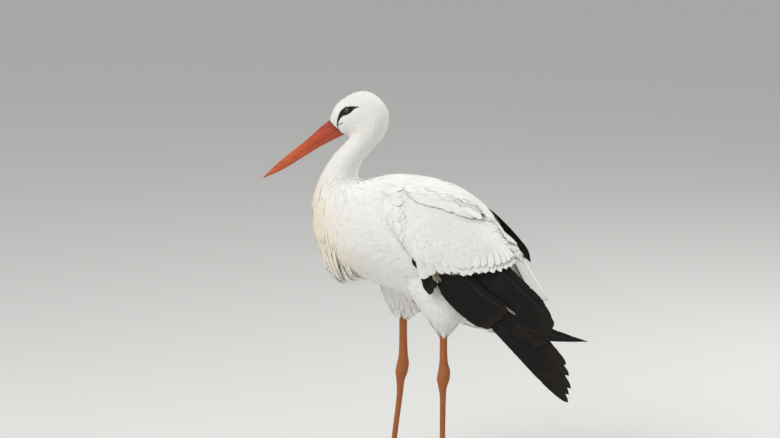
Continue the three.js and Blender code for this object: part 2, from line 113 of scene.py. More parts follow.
# %% Spline
def spline(values, t):
    """The value at t, in steps from 0 to len(values) - 1. Ends are run on in a straight line."""
    values = np.asarray(values, float)
    flat = values.ndim == 1
    values = values[:, None] if flat else values
    row = np.concatenate([[2 * values[0] - values[1]], values, [2 * values[-1] - values[-2]]])
    t = np.clip(np.asarray(t, float), 0, len(values) - 1)
    i = np.minimum(t.astype(int), len(values) - 2)
    f = (t - i)[..., None]
    before, here, there, after = (row[i + k] for k in range(4))
    a, b = (there - before) / 2, (after - here) / 2
    value = (
        here * (1 + f * f * (2 * f - 3))
        + there * f * f * (3 - 2 * f)
        + a * f * (1 - f) ** 2
        - b * f * f * (1 - f)
    )
    return value[..., 0] if flat else value


print("a spline through 0, 1 and 0 is at", spline([0, 1, 0], 0.5), "half way to the 1")

# %% [markdown]
# ## Meshes from arrays
#
# A mesh is a list of points and a list of faces. Building it face by face in a loop is slow for
# a coat of half a million faces, so both lists come from numpy and foreach_set copies them in at
# once. Most of the bird's parts are tubes: rings of points, joined by quads and closed at both
# ends.


# %% Meshes and tubes
def set_points(mesh, points):
    """Moves the vertices of a mesh to places in the bird's millimetres."""
    mesh.vertices.foreach_set("co", metres(points).astype(np.float32).ravel())
    mesh.update()


def new_mesh(name, points, faces, rounded=None):
    """A mesh from points in the bird's millimetres and arrays of faces, each array of one size.
    `rounded` says of each face whether it is shaded smoothly; its edge to a flat one is sharp."""
    mesh = bpy.data.meshes.new(name)
    mesh.vertices.add(len(points))
    set_points(mesh, points)
    sizes = np.concatenate([np.full(len(f), f.shape[1]) for f in faces])
    mesh.loops.add(int(sizes.sum()))
    corners = np.concatenate([f.ravel() for f in faces])
    mesh.loops.foreach_set("vertex_index", corners.astype(np.int32))
    mesh.polygons.add(len(sizes))
    mesh.polygons.foreach_set("loop_start", (np.cumsum(sizes) - sizes).astype(np.int32))
    rounded = np.ones(len(sizes), bool) if rounded is None else rounded
    mesh.polygons.foreach_set("use_smooth", rounded)
    mesh.update(calc_edges=True)
    return mesh


def new_piece(name, mesh, material=None):
    """An object at the origin that shows the mesh."""
    piece = bpy.data.objects.new(name, mesh)
    bpy.context.scene.collection.objects.link(piece)
    if material:
        mesh.materials.append(material)
    return piece


def wall_faces(rings, sides, closed=False):
    """Quads between neighbouring rings, and between the last and the first where closed."""
    i, j = np.meshgrid(np.arange(rings - (not closed)), np.arange(sides), indexing="ij")
    a, b = i * sides + j, i * sides + (j + 1) % sides
    quads = np.stack([a, b, b + sides, a + sides], -1).reshape(-1, 4)
    return quads % (rings * sides)


def tube_faces(rings, sides):
    """Walls, and a fan from a middle point over each end. Both middle points follow the rings'."""
    j, end = np.arange(sides), (rings - 1) * sides
    first, last = rings * sides, rings * sides + 1
    start_fan = np.stack([np.full(sides, first), (j + 1) % sides, j], -1)
    end_fan = np.stack([np.full(sides, last), end + j, end + (j + 1) % sides], -1)
    return wall_faces(rings, sides), np.concatenate([start_fan, end_fan])


def facing_out(points, faces):
    """Faces turned round where the solid they bound has a negative volume."""
    walls, fans = faces
    halves = np.concatenate([walls[:, :3], walls[:, [0, 2, 3]], fans])
    a, b, c = (points[halves[:, k]] - points.mean(0) for k in range(3))
    volume = np.sum(a * np.cross(b, c))
    return [f[:, ::-1] if volume < 0 else f for f in faces]


def join_tubes(tubes):
    """Closed tubes of ring points (n, sides, 3), each with its faces out, as one list of points and
    faces. The middle of each end ring closes that end."""
    points, walls, fans, count = [], [], [], 0
    for rings in tubes:
        closed = np.concatenate([rings.reshape(-1, 3), [rings[0].mean(0), rings[-1].mean(0)]])
        w, f = facing_out(closed, tube_faces(*rings.shape[:2]))
        points.append(closed)
        walls.append(w + count)
        fans.append(f + count)
        count += len(closed)
    return np.concatenate(points), [np.concatenate(walls), np.concatenate(fans)]


def grid_values(along, around):
    """Column of places along a form, and row of angles round it in radians."""
    turn = np.arange(around) * 2 * np.pi / around
    return np.asarray(along, float)[:, None], turn[None, :]


def full_grid(along, around):
    """The same two as whole grids."""
    return np.broadcast_arrays(*grid_values(along, around))


# %% What a mesh carries, and handing it over
def set_attribute(mesh, name, values):
    """A number for every vertex."""
    layer = mesh.attributes.new(name, "FLOAT", "POINT")
    layer.data.foreach_set("value", np.asarray(values, np.float32).ravel())


def set_map(mesh, name, uv):
    """A map from a place for every vertex."""
    loops = np.empty(len(mesh.loops), np.int32)
    mesh.loops.foreach_get("vertex_index", loops)
    layer = mesh.uv_layers.new(name=name)
    layer.data.foreach_set("uv", uv[loops].astype(np.float32).ravel())


def hand_over(piece, slot, *nodes):
    """The piece rides on the bird's one body and stands for nodes. `slot` is not used."""
    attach(piece, "root")
    if nodes:
        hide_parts(*nodes)
    print(f"{piece.name}: {len(piece.data.polygons)} faces")


def tube_piece(name, tubes, finish, slot, *nodes, **marks):
    """Closed tubes as one piece. Each mark is a list with one array for every tube, of a number for
    each ring point. The middles of its ends take 0, and 1 where a tip ends."""
    mesh = new_mesh(name, *join_tubes(tubes))
    for key, values in marks.items():
        last = 1 if key == "tip" else 0
        closed = [np.append(rings.ravel(), [0, last]) for rings in values]
        set_attribute(mesh, key, np.concatenate(closed))
    hand_over(new_piece(name, mesh, finish), slot, *nodes)


# %% [markdown]
# ## The soft forms
#
# A soft form is a loft. Each cross-section has a top and an under point in the bird's profile
# and says how far the form reaches to either side. Round the section, a point is the middle,
# plus the half line to the top times the cosine, plus the sideways reach times the sine. The
# last number of a section of the body is the depth of the coat there: skin lies that far inside
# the outline, and feather tips come up to it.

# %% Sections of the body: top x, z, under x, z, half breadth, coat depth
BODY = np.array([
    (-113, 678, -83, 654, 12.5, 0.8),  # root of the bill
    (-98, 709, -79, 653, 22, 1.3),
    (-65, 730, -76, 652, 28, 1.7),  # crown
    (-33, 731, -75, 651, 30, 2.1),
    (-6, 706, -75, 650, 30, 2.5),  # back of the head
    (-2, 679, -76, 648, 30, 2.9),
    (-13, 651, -79, 644, 28.5, 3.3),  # throat
    (-45, 615, -100, 621, 26, 3.9),
    (-56, 597, -115, 601, 26.5, 4.5),  # middle of the neck
    (-60, 580, -128, 579, 29, 5.0),
    (-58, 571, -138, 553, 36, 5.6),
    (-50, 569, -144, 526, 46, 6.2),  # shoulders
    (-34, 572, -141, 485, 58, 6.5),
    (-13, 578, -131, 458, 66, 6.5),  # breast
    (9, 583, -117, 429, 72, 6.5),
    (33, 584, -92, 407, 77, 6.5),
    (59, 583, -58, 396, 80, 6.5),
    (89, 578, -19, 384, 81, 6.5),  # belly
    (120, 568, 28, 365, 80, 6.5),
    (148, 552, 75, 344, 75, 6.5),
    (176, 528, 130, 321, 66, 6.5),
    (199, 500, 181, 309, 52, 6.5),  # rump
    (220, 471, 212, 315, 40, 6.0),
    (236, 440, 237, 338, 31, 5.0),
    (248, 412, 254, 366, 24, 4.0),  # root of the tail
])
LAST = len(BODY) - 1

# Thighs: front x, z, back x, z, half thickness, distance from the middle.
THIGHS = {
    LEFT: np.array([
        (34, 434, 150, 418, 32, 36),
        (44, 392, 151, 374, 32, 43),
        (66, 356, 144, 338, 27, 43),
        (87, 328, 131, 320, 18, 40),
        (102, 307, 118, 305, 8, 38),
    ]),
    RIGHT: np.array([
        (-34, 436, 80, 424, 32, 36),
        (-33, 398, 78, 382, 32, 43),
        (-26, 363, 63, 352, 27, 43),
        (-17, 342, 44, 341, 19, 40),
        (0, 323, 22, 324, 9.5, 38),
    ]),
}
THIGH_COAT = 5.0

# Fore-arms: upper edge x, out, z, lower edge x, out, z, outward bulge, inward bulge.
ARM = np.array([
    (-24, 32, 538, -10, 42, 514, 8, 3),
    (14, 43, 560, 36, 76, 488, 25, 6),
    (52, 42, 569, 78, 87, 432, 32, 8),
    (100, 37, 565, 122, 90, 429, 32, 8),
    (144, 30, 548, 176, 89, 431, 27, 8),
    (178, 28, 526, 216, 83, 438, 20, 6),
    (202, 28, 504, 240, 73, 448, 10, 4),
    (216, 34, 490, 249, 64, 458, 3, 2),
])
ARM_COAT = 4.0
FOLD = {LEFT: 1.0, RIGHT: 0.86}  # the right wing is folded tighter


print("sections: body", len(BODY), "thigh", len(THIGHS[LEFT]), "fore-arm", len(ARM))


# %% Lofts
def loft(top, under, out, inner, turn, aside, inset):
    """Ring points round the line from top to under. `aside` is the direction of the bulge `out`.
    Each point is `inset` inside the outline, but never past the middle."""
    half, middle = (top - under) / 2, (top + under) / 2
    reach = np.linalg.norm(half, axis=-1, keepdims=True)
    across = unit(aside - half * dot(half, aside) / reach**2)
    sine = np.sin(turn)[..., None]
    bulge = np.where(sine > 0, out[..., None], inner[..., None])
    return (
        middle
        + half * np.maximum(1 - inset / reach, 0.2) * np.cos(turn)[..., None]
        + across * np.maximum(bulge - inset, 0.3) * sine
    )


TO_LEFT = np.array([0.0, -1, 0])


def profile_loft(rows, along, turn, inset):
    """A loft whose sections stand in the middle plane: top x, z, under x, z, half breadth."""
    row = spline(rows, along)
    middle = np.zeros_like(row[..., 0])
    top = np.stack([row[..., 0], middle, row[..., 1]], -1)
    under = np.stack([row[..., 2], middle, row[..., 3]], -1)
    return loft(top, under, row[..., 4], row[..., 4], turn, TO_LEFT, inset)


def body(along, turn):
    """The body's skin from the bill's root, 0, to the tail's, LAST, the coat's depth inside the
    outline. turn 0 is the back, and a quarter turn is the left side."""
    return profile_loft(BODY, along, turn, spline(BODY[:, 5:6], along))


def thigh(side, along, turn):
    """A thigh's skin from inside the belly, 0, down to the bare shank, 4. turn 0 is its front."""
    rows = THIGHS[side]
    aside = side * spline(rows[:, 5], along)[..., None] * [0, 1, 0]
    return profile_loft(rows, along, turn, THIGH_COAT) + aside


def arm(side, along, turn):
    """A folded fore-arm's skin from the shoulder, 0, to its rear end, 7. turn 0 is its upper edge,
    half a turn the lower edge, and a quarter turn the middle of its outer face."""
    row = spline(ARM, along)
    fold = np.array([FOLD[side], side, 1])
    top, under = row[..., 0:3] * fold, row[..., 3:6] * fold
    return loft(top, under, row[..., 6], row[..., 7], turn, np.array([0.0, side, 0]), ARM_COAT)


# %% [markdown]
# ## One skin
#
# Lofts of body, thighs and fore-arms pass through each other. Blender's voxel remesh turns them
# into one closed surface, and a few rounds of smoothing melt the creases where they meet, as
# skin and muscle do. A boolean would keep those creases sharp.

# %% Reading and finishing meshes

def applied(piece):
    """The piece with its modifiers worked into its mesh."""
    graph = bpy.context.evaluated_depsgraph_get()
    mesh = bpy.data.meshes.new_from_object(piece.evaluated_get(graph))
    old = piece.data
    piece.modifiers.clear()
    piece.data = mesh
    bpy.data.meshes.remove(old)
    return piece


def read(collection, key, size, kind=np.float32):
    """One property of a whole Blender collection as an array."""
    values = np.empty(len(collection) * size, kind)
    collection.foreach_get(key, values)
    return values.reshape(-1, size)


def points_of(mesh):
    """Vertex places of a mesh, in the bird's millimetres."""
    return read(mesh.vertices, "co", 3).astype(float) * 1000 - ORIGIN


# %% Remesh the lofts into one skin
SKIN_VOXEL = 2.3  # mm


def melt(piece, rounds, group=""):
    """Smooths the piece, or one vertex group of it, `rounds` times, and works it in."""
    modifier = piece.modifiers.new("Melt", "SMOOTH")
    modifier.factor, modifier.iterations, modifier.vertex_group = 0.5, rounds, group
    applied(piece)


flesh = [body(*grid_values(np.linspace(0.0, LAST, 121), 72))]
for side in (LEFT, RIGHT):
    flesh.append(thigh(side, *grid_values(np.linspace(0, 4, 25), 36)))
    flesh.append(arm(side, *grid_values(np.linspace(0.4, 6.9, 40), 40)))
skin = new_piece("skin", new_mesh("skin", *join_tubes(flesh)))
remesh = skin.modifiers.new("One surface", "REMESH")
remesh.mode, remesh.voxel_size, remesh.use_smooth_shade = "VOXEL", SKIN_VOXEL / 1000, True
melt(skin, 10)
print("skin:", len(skin.data.polygons), "faces")

# %% [markdown]
# On a living stork no crease shows where the neck runs into the back and the back into the
# folded wing, because skin and long feathers bridge it. More smoothing of the whole skin would
# wear down the head too. So a second, longer smoothing works only on a group of vertices, picked
# by place.

# %% Melt the shoulders
NECK_CORNER, CORNER_REACH = (-54, 570), 24  # x, z of the corner of neck and back
ARM_FRONT = np.array([(-20, 520), (14, 502), (36, 486), (60, 458), (84, 428)])  # x, z down its edge
ARM_FRONT_REACH = 26


def on_shoulders(points):
    """Whether each point is on the shoulder, at the corner of neck and back, in the fold between
    back and fore-arm, or near the fore-arm's front edge."""
    x, _, z = points.T
    shoulder = (x > -45) & (x < 62) & (z > 455 + 0.6 * x)
    corner = np.hypot(x - NECK_CORNER[0], z - NECK_CORNER[1]) < CORNER_REACH
    fold = (x > 30) & (z > 512 - 1.1 * np.maximum(x - 165, 0))
    off_front = np.abs(z - np.interp(x, *ARM_FRONT.T))
    front = (off_front < ARM_FRONT_REACH) & (z > 448) & (x > -30) & (x < 72)
    return shoulder | corner | fold | front


shoulders = skin.vertex_groups.new(name="shoulders")
melting = np.flatnonzero(on_shoulders(points_of(skin.data)))
shoulders.add(melting.tolist(), 1.0, "REPLACE")
melt(skin, 60, "shoulders")
print("vertices of the skin melted at the shoulders:", len(melting))

# %% [markdown]
# ## The face
#
# The face is not an egg. A stork has a brow over the eye, a hollow for the eye and a shallow
# lore that runs from the eye to the corner of the bill. Each is a soft bump or dent on the skin:
# a height that falls off with the distance as exp(-d^2). The skin round the eye is divided more
# finely first, so that it can carry these forms and the sharp edge of the black mask.

# %% Brow, eye socket and lores
FACE_REACH = 24.0  # mm round the middle of the face
FACE_MIDDLE = np.array([EYE["x"] - 4, EYE["out"], EYE["z"] - 8])
FACE_FORMS = [  # x, z, radius, height outwards
    (EYE["x"], EYE["z"], 6.2, -2.6),  # socket
    (-70, 711, 8.0, 1.3),  # brow
    (-84, 706, 7.0, 0.7),
    (-88, 690, 6.0, -1.1),  # lore
    (-62, 685, 12.0, 0.9),  # cheek
]


def finer_face(mesh):
    """Each edge near either eye is cut in three, and the faces with it."""
    work = bmesh.new()
    work.from_mesh(mesh)
    places = points_of(mesh)
    mirrored = np.where([False, True, False], np.abs(places), places)
    near = np.linalg.norm(mirrored - FACE_MIDDLE, axis=1)
    ends = read(mesh.edges, "vertices", 2, np.int32)
    cut = np.flatnonzero((near[ends] < FACE_REACH).all(1))
    work.edges.ensure_lookup_table()
    edges = [work.edges[i] for i in cut]
    bmesh.ops.subdivide_edges(work, edges=edges, cuts=2, use_grid_fill=True, smooth=0.6)
    work.to_mesh(mesh)
    work.free()
    print("edges cut finer round the eyes:", len(edges))


def shaped_face(points):
    """The skin's points with the face's forms added, sideways, on both sides of the head."""
    out = points.copy()
    aside = smooth(6, 16, np.abs(points[:, 1]))  # the head's middle keeps its form
    for x, z, radius, height in FACE_FORMS:
        fall = np.exp(-((points[:, 0] - x) ** 2 + (points[:, 2] - z) ** 2) / radius**2)
        out[:, 1] += np.sign(points[:, 1]) * height * fall * aside
    return out


finer_face(skin.data)
set_points(skin.data, shaped_face(points_of(skin.data)))

# %% [markdown]
# ## Which way the coat lies
#
# Feathers point away from the bill: back over the crown, down the neck and breast, back along
# the body, down over the closed wing and down the thigh. A coarse table of places on the same
# lofts holds the direction, length, width and spacing of the feathers there. Any point of the
# skin takes a weighted mean of its nearest table rows, so that all of them change smoothly over
# the bird.

# %% The coat table
# Columns: length, width, depth, spacing, roundness, then three that say where a feather grows:
# its place along the body, and how far it belongs to a fore-arm or to a thigh.
LENGTH, WIDTH, DEPTH, SPACING, ROUNDNESS, ALONG, ON_ARM, ON_THIGH = range(8)
# One row for every second section of the body, first over the back. Five numbers as above.
BACK_COAT = np.array([
    (5.0, 2.1, 0.9, 1.35, 0.0),
    (9.0, 3.0, 1.7, 1.8, 0.0),
    (13, 3.6, 2.5, 2.1, 0.1),
    (17, 4.6, 3.3, 2.6, 0.1),
    (22, 6.0, 4.5, 3.1, 0.2),
    (30, 9.0, 5.6, 4.2, 0.4),
    (38, 14, 6.5, 5.6, 0.7),
    (42, 17, 6.5, 6.6, 0.9),
    (44, 19, 6.5, 7.2, 1.0),
    (46, 20, 6.5, 7.6, 1.0),
    (48, 20, 6.5, 7.6, 1.0),
    (46, 18, 6.0, 7.2, 0.9),
    (40, 14, 4.0, 6.2, 0.8),
])
FRONT_COAT = np.array([  # the same under throat, breast and belly
    (5.0, 2.1, 0.9, 1.35, 0.0),
    (8.0, 2.8, 1.6, 1.7, 0.0),
    (12, 3.4, 2.4, 2.0, 0.0),
    (19, 4.0, 3.3, 2.4, 0.0),
    (30, 5.0, 4.5, 2.9, 0.0),
    (42, 6.2, 5.6, 3.5, 0.0),
    (46, 8.0, 6.5, 4.1, 0.0),
    (42, 9.8, 6.5, 4.7, 0.15),
    (40, 11, 6.5, 5.1, 0.25),
    (40, 12, 6.5, 5.4, 0.3),
    (42, 12, 6.5, 5.4, 0.3),
    (46, 12, 6.0, 5.4, 0.3),
    (44, 11, 4.0, 5.2, 0.3),
])
THIGH_COAT_ROW = np.array([32, 9.0, 5.0, 4.4, 0.1])
ARM_COAT_ROWS = np.array([  # at the fore-arm's upper edge, middle and lower edge
    (24, 12, 3.6, 5.4, 0.9),
    (32, 15, 3.9, 6.6, 1.0),
    (42, 18, 4.0, 8.0, 1.0),
])
ARM_SLOPE = (-20, -68)  # degrees below level at the arm's upper and lower edge
THIGH_AT, ARM_AT = 18, 14  # the places along the body that thighs and fore-arms belong to
print("coat rows: back", len(BACK_COAT), "front", len(FRONT_COAT), "fore-arm", len(ARM_COAT_ROWS))


# %% Rows of the table on the lofts

def direction_along(surface, along, turn):
    """Unit vectors in which a surface runs, from the difference of two nearby places."""
    nudge = 0.02
    return unit(surface(along + nudge, turn) - surface(along - nudge, turn))


def table_rows():
    """Place, direction and coat of every row of the table, as (n, 3), (n, 3) and (n, 8)."""
    places, ways, coats = [], [], []

    def add(place, way, coat, *where):
        rows = np.broadcast_to(coat, (*place.shape[:2], 5))
        rest = [np.broadcast_to(w, place.shape[:2])[..., None] for w in where]
        places.append(place.reshape(-1, 3))
        ways.append(way.reshape(-1, 3))
        coats.append(np.concatenate([rows, *rest], -1).reshape(-1, 8))

    along, turn = full_grid(np.linspace(0.1, LAST - 0.1, 66), 22)
    share = (1 - np.cos(turn))[..., None] / 2
    coat = spline(BACK_COAT, along / 2) * (1 - share) + spline(FRONT_COAT, along / 2) * share
    add(body(along, turn), direction_along(body, along, turn), coat, along, 0, 0)
    for side in (LEFT, RIGHT):
        along, turn = full_grid(np.linspace(1.0, 3.9, 12), 16)
        way = direction_along(partial(thigh, side), along, turn)
        add(thigh(side, along, turn), way, THIGH_COAT_ROW, THIGH_AT, 0, 1)
        along, turn = full_grid(np.linspace(1.1, 6.8, 19), 22)
        down = (1 - np.cos(turn)) / 2
        upper, lower = ARM_SLOPE
        slope = np.radians(upper + (lower - upper) * down * smooth(0, 3, along))
        way = np.stack([np.cos(slope), np.zeros_like(slope), np.sin(slope)], -1)
        add(arm(side, along, turn), way, spline(ARM_COAT_ROWS, 2 * down), ARM_AT, 1, 0)
    return np.concatenate(places), np.concatenate(ways), np.concatenate(coats)


TABLE_PLACES, TABLE_WAYS, TABLE_COATS = table_rows()
print("coat table:", len(TABLE_PLACES), "rows")

# %% The coat at any point
BLEND_REACH = 9.0  # mm over which neighbouring rows of the table mix


def coat_at(points):
    """Direction (n, 3) and coat values (n, 8) at any points: table rows weighted by
    exp(-(d^2 - nearest d^2) / 2 reach^2)."""
    ways, coats = [], []
    far = np.sum(TABLE_PLACES**2, 1)[None]
    for chunk in np.array_split(points, max(1, len(points) // 4000)):
        square = (far - 2 * chunk @ TABLE_PLACES.T).astype(np.float32)
        square -= square.min(1, keepdims=True)
        weight = np.exp(-square / np.float32(2 * BLEND_REACH**2))
        weight /= weight.sum(1, keepdims=True)
        ways.append(weight @ TABLE_WAYS)
        coats.append(weight @ TABLE_COATS)
    return unit(np.concatenate(ways)), np.concatenate(coats)


skin_points = points_of(skin.data)
skin_ways, skin_coats = coat_at(skin_points)
print("feather length on the skin:", np.round(skin_coats[:, LENGTH].min(), 1), "to",
      np.round(skin_coats[:, LENGTH].max(), 1), "mm")

# %% [markdown]
# ## Markings
#
# Skin and feathers share their marks, all worked out from a point's place. The black bare skin
# round the eye has its tail towards the ear, and the same black paints a shadow down the bill's
# root. Old preen oil leaves a cream tint on the front of the neck and breast. On the left side
# there is buff soil at the wrist, painted shade in a ruffled hollow over the shoulder, and a
# painted highlight on the black feathers. A painted image would stretch over the feathers. Numbers
# stored on the meshes don't, and both materials of the plumage read them.

# %% Marks from places
FACE_MASK = np.array([  # x, z, radius: one run of discs from behind the eye to the bill's corner
    (-51, 708, 0.7),
    (-60, 706, 2.6),
    (-68, 702.5, 5.4),
    (-75, 699, 6.6),
    (-82, 695, 5.0),
    (-88, 687, 3.0),
    # The last three discs run down the bill's root: a painted shadow, in the black of the mask.
    (-91.5, 679, 1.7),
    (-93, 670, 1.2),
    (-91, 660, 1.0),
])
MALAR_LINE = np.array([(-92, 673, 0.9), (-86, 675, 0.8), (-80, 678, 0.3)])  # from the bill's corner
# The first patch paints shade in the ruffled hollow over the shoulder, the second is buff soil at
# the wrist, and the third paints a highlight on the black feathers.
SOIL_SHADE_AND_HIGHLIGHT_PATCHES = [  # x, z, half length, half height, fall along its length, strength
    (11, 556, 15, 5.5, 0.3, 0.25),  # grey in a ruffled hollow over the shoulder
    (113, 419, 13, 9, 0, 1.0),  # buff at the wrist
    (245, 363, 15, 12, 0, 0.75),  # a fleck on the black feathers
]


def run_of_discs(discs, points):
    """Distance in the profile to the nearest of many discs along a run, less that disc's radius."""
    discs = spline(discs, np.linspace(0, len(discs) - 1, 36))
    flat = points[:, None, [0, 2]] - discs[None, :, :2]
    return np.min(np.linalg.norm(flat, axis=-1) - discs[:, 2], axis=1)


def face_mask(points):
    """1 on the black of the face, which includes a painted shadow down the bill's root, and 0 off
    it, with an edge about a millimetre soft.
    """
    mask = np.zeros(len(points))
    near = (points[:, 2] > 640) & (points[:, 0] < -40) & (np.abs(points[:, 1]) > 7)
    gap = run_of_discs(FACE_MASK, points[near])
    line = run_of_discs(MALAR_LINE, points[near])
    mask[near] = np.maximum(1 - smooth(-0.4, 0.6, gap), 0.8 * (1 - smooth(-0.4, 0.5, line)))
    return mask


def cream_tint(points):
    """Strongest on the front of the lower neck and breast, fading up to the throat and back."""
    x, y, z = points.T
    front = smooth(-55, -150, x + 0.45 * (z - 520))
    height = smooth(370, 450, z) * smooth(660, 560, z)
    stain = bump_at(x, -57, 9) * bump_at(z, 665, 4) * smooth(8, 16, np.abs(y))
    return np.maximum(front * height, 0.9 * stain)


def soil_and_painted_light(points):
    """Soft ovals on the left side, each with its strength: painted shade in the shoulder's hollow,
    buff soil at the wrist and a painted highlight on the black feathers. On the wing, only its
    outer face.
    """
    x, y, z = points.T

    def oval(at, height, long, tall, fall, strength):
        """The patch's strength inside it, fading to nothing just outside."""
        far = np.hypot((x - at) / long, (z - height + fall * (x - at)) / tall)
        return strength * (1 - smooth(0.6, 1.1, far))

    painted_hollow_shade, wrist, painted_highlight = (oval(*patch) for patch in SOIL_SHADE_AND_HIGHLIGHT_PATCHES)
    on_wing = np.maximum(wrist, painted_highlight) * smooth(60, 70, -y)
    return (y < 0) * np.maximum(painted_hollow_shade, on_wing)


def mark(mesh, points, roots=None):
    """All marks as attributes of a mesh. Half of the soil and painted light goes by `roots`, one
    place for a feather.
    """
    set_attribute(mesh, "mask", face_mask(points))
    set_attribute(mesh, "cream", cream_tint(points))
    set_attribute(mesh, "soil_and_painted_light", (soil_and_painted_light(points) + soil_and_painted_light(points if roots is None else roots)) / 2)


mark(skin.data, skin_points)
print("skin points on the black mask:", int((face_mask(skin_points) > 0.5).sum()))

# %% [markdown]
# ## Finishes
#
# Every finish is a procedural material, so it stays sharp from any distance. A few helpers keep
# the node trees short to write: one makes a node with its values, one feeds a socket from
# another socket or a plain value, and one makes a whole material.


# %% Node helpers
def node(tree, kind, **values):
    """A new node. A value names an input when it starts with a capital letter, else a property."""
    made = tree.nodes.new(kind)
    for key, value in values.items():
        if key[0].isupper():
            made.inputs[key.replace("_", " ")].default_value = value
        else:
            setattr(made, key, value)
    return made


def feed(tree, socket, value):
    """Links the socket to another one, or sets it to a number or a colour."""
    if isinstance(value, bpy.types.NodeSocket):
        tree.links.new(value, socket)
    else:
        socket.default_value = value if np.isscalar(value) else (*value, 1)


def maths(tree, operation, *values):
    """A Math node of one or two values, each a number or a socket, and its output."""
    made = node(tree, "ShaderNodeMath", operation=operation)
    for socket, value in zip(made.inputs, values):
        feed(tree, socket, value)
    return made.outputs[0]


def excess(tree, value, start, gain):
    """How far a socket's value is over `start`, times `gain`."""
    return maths(tree, "MULTIPLY", maths(tree, "SUBTRACT", value, start), gain)


def blend(tree, share, a, b):
    """A colour mix. Share and colours are values or sockets."""
    made = node(tree, "ShaderNodeMix", data_type="RGBA")
    for number, value in {0: share, 6: a, 7: b}.items():
        feed(tree, made.inputs[number], value)
    return made.outputs[2]


def attribute(tree, name):
    """The number that a mesh attribute holds."""
    return node(tree, "ShaderNodeAttribute", attribute_name=name).outputs["Fac"]


# %% Groups, materials and relief
def new_group(name, inputs, outputs):
    """An empty node group and its two end nodes."""
    group = bpy.data.node_groups.new(name, "ShaderNodeTree")
    for label, value in inputs.items():
        socket = group.interface.new_socket(label, in_out="INPUT", socket_type="NodeSocketFloat")
        socket.default_value = value
    for label in outputs:
        group.interface.new_socket(label, in_out="OUTPUT", socket_type="NodeSocketFloat")
    return group, group.nodes.new("NodeGroupInput"), group.nodes.new("NodeGroupOutput")


def use_group(tree, group, **values):
    """The group as a node, with some of its inputs set."""
    made = tree.nodes.new("ShaderNodeGroup")
    made.node_tree = group
    for key, value in values.items():
        made.inputs[key].default_value = value
    return made


def material(name, colour, roughness, **sockets):
    """A new material with plain values set on its shader. Gives material, tree and shader."""
    made = bpy.data.materials.new(name)
    made.use_nodes = True
    shader = made.node_tree.nodes["Principled BSDF"]
    shader.inputs["Base Color"].default_value = (*colour, 1)
    shader.inputs["Roughness"].default_value = roughness
    for key, value in sockets.items():
        shader.inputs[key.replace("_", " ")].default_value = value
    return made, made.node_tree, shader


def relief(tree, shader, height, strength, distance_mm):
    """A bump from a height socket into the shader's normal."""
    bump = node(tree, "ShaderNodeBump", Strength=strength, Distance=distance_mm / 1000)
    feed(tree, bump.inputs["Height"], height)
    feed(tree, shader.inputs["Normal"], bump.outputs["Normal"])


# %% [markdown]
# Two effects belong to several finishes, so each is a node group, built once. Barbs are the fine
# slanting lines of a feather's vane, on both sides of its shaft. They come from the feather's
# own map, because a pattern on the bird's axes would cut across the feathers. Mottling is an
# uneven tone from soil and wear. It goes by the place on the bird, and so runs on from feather
# to feather.

# %% Barbs
SHAFT_SLOPE = 14.0  # the shaft fades out at 1/14 of the vane's width from its middle
BARBS, ends_in, ends_out = new_group("Barbs", {"Rows": 40.0, "Slant": 0.35}, ["Line", "Shaft"])
own_map = node(BARBS, "ShaderNodeUVMap", uv_map="Feather")
parted = node(BARBS, "ShaderNodeSeparateXYZ")
feed(BARBS, parted.inputs["Vector"], own_map.outputs["UV"])
from_shaft = maths(BARBS, "ABSOLUTE", maths(BARBS, "SUBTRACT", parted.outputs["X"], 0.5))
swept = maths(BARBS, "MULTIPLY", from_shaft, ends_in.outputs["Slant"])
slanted = maths(BARBS, "SUBTRACT", parted.outputs["Y"], swept)
phase = maths(BARBS, "MULTIPLY", slanted, ends_in.outputs["Rows"])
wave = maths(BARBS, "SINE", maths(BARBS, "MULTIPLY", phase, 2 * np.pi))
feed(BARBS, ends_out.inputs["Line"], maths(BARBS, "MULTIPLY_ADD", wave, 0.5))
shaft = maths(BARBS, "SUBTRACT", 1.0, maths(BARBS, "MULTIPLY", from_shaft, SHAFT_SLOPE))
feed(BARBS, ends_out.inputs["Shaft"], maths(BARBS, "MAXIMUM", shaft, 0.0))

# %% Mottle
MOTTLE, ends_in, ends_out = new_group("Mottle", {"Size": 30.0}, ["Tone"])
place = node(MOTTLE, "ShaderNodeTexCoord")
noise = node(MOTTLE, "ShaderNodeTexNoise", Detail=3.0, Roughness=0.55)
feed(MOTTLE, noise.inputs["Vector"], place.outputs["Object"])
feed(MOTTLE, noise.inputs["Scale"], ends_in.outputs["Size"])
feed(MOTTLE, ends_out.inputs["Tone"], noise.outputs["Fac"])
print("node groups:", [group.name for group in bpy.data.node_groups])


def mottle(tree, size):
    """The mottled tone in patches of 1 / size metres."""
    return use_group(tree, MOTTLE, Size=size).outputs["Tone"]


# %% [markdown]
# White plumage is never plain white: it is warm, a little darker where it is worn, cream on the
# breast, and no two feathers have quite the same tone. All of these are colour mixes, one over the
# other, and the black of the face comes last. The brown mix of soil also carries painted shade in a
# hollow over the left shoulder and a painted highlight on the black of the left wing. The black of
# the face also carries a painted shadow down the bill's root. The skin has the same mixes, so that
# it doesn't shine through a gap, but pores in place of barbs.

# %% White plumage, and the bare skin under it
WHITE, SHADY_WHITE = (0.84, 0.83, 0.80), (0.70, 0.68, 0.63)
CREAM, SOIL_AND_PAINTED_LIGHT = (0.80, 0.72, 0.58), (0.27, 0.21, 0.14)
MASK_BLACK = (0.012, 0.011, 0.011)


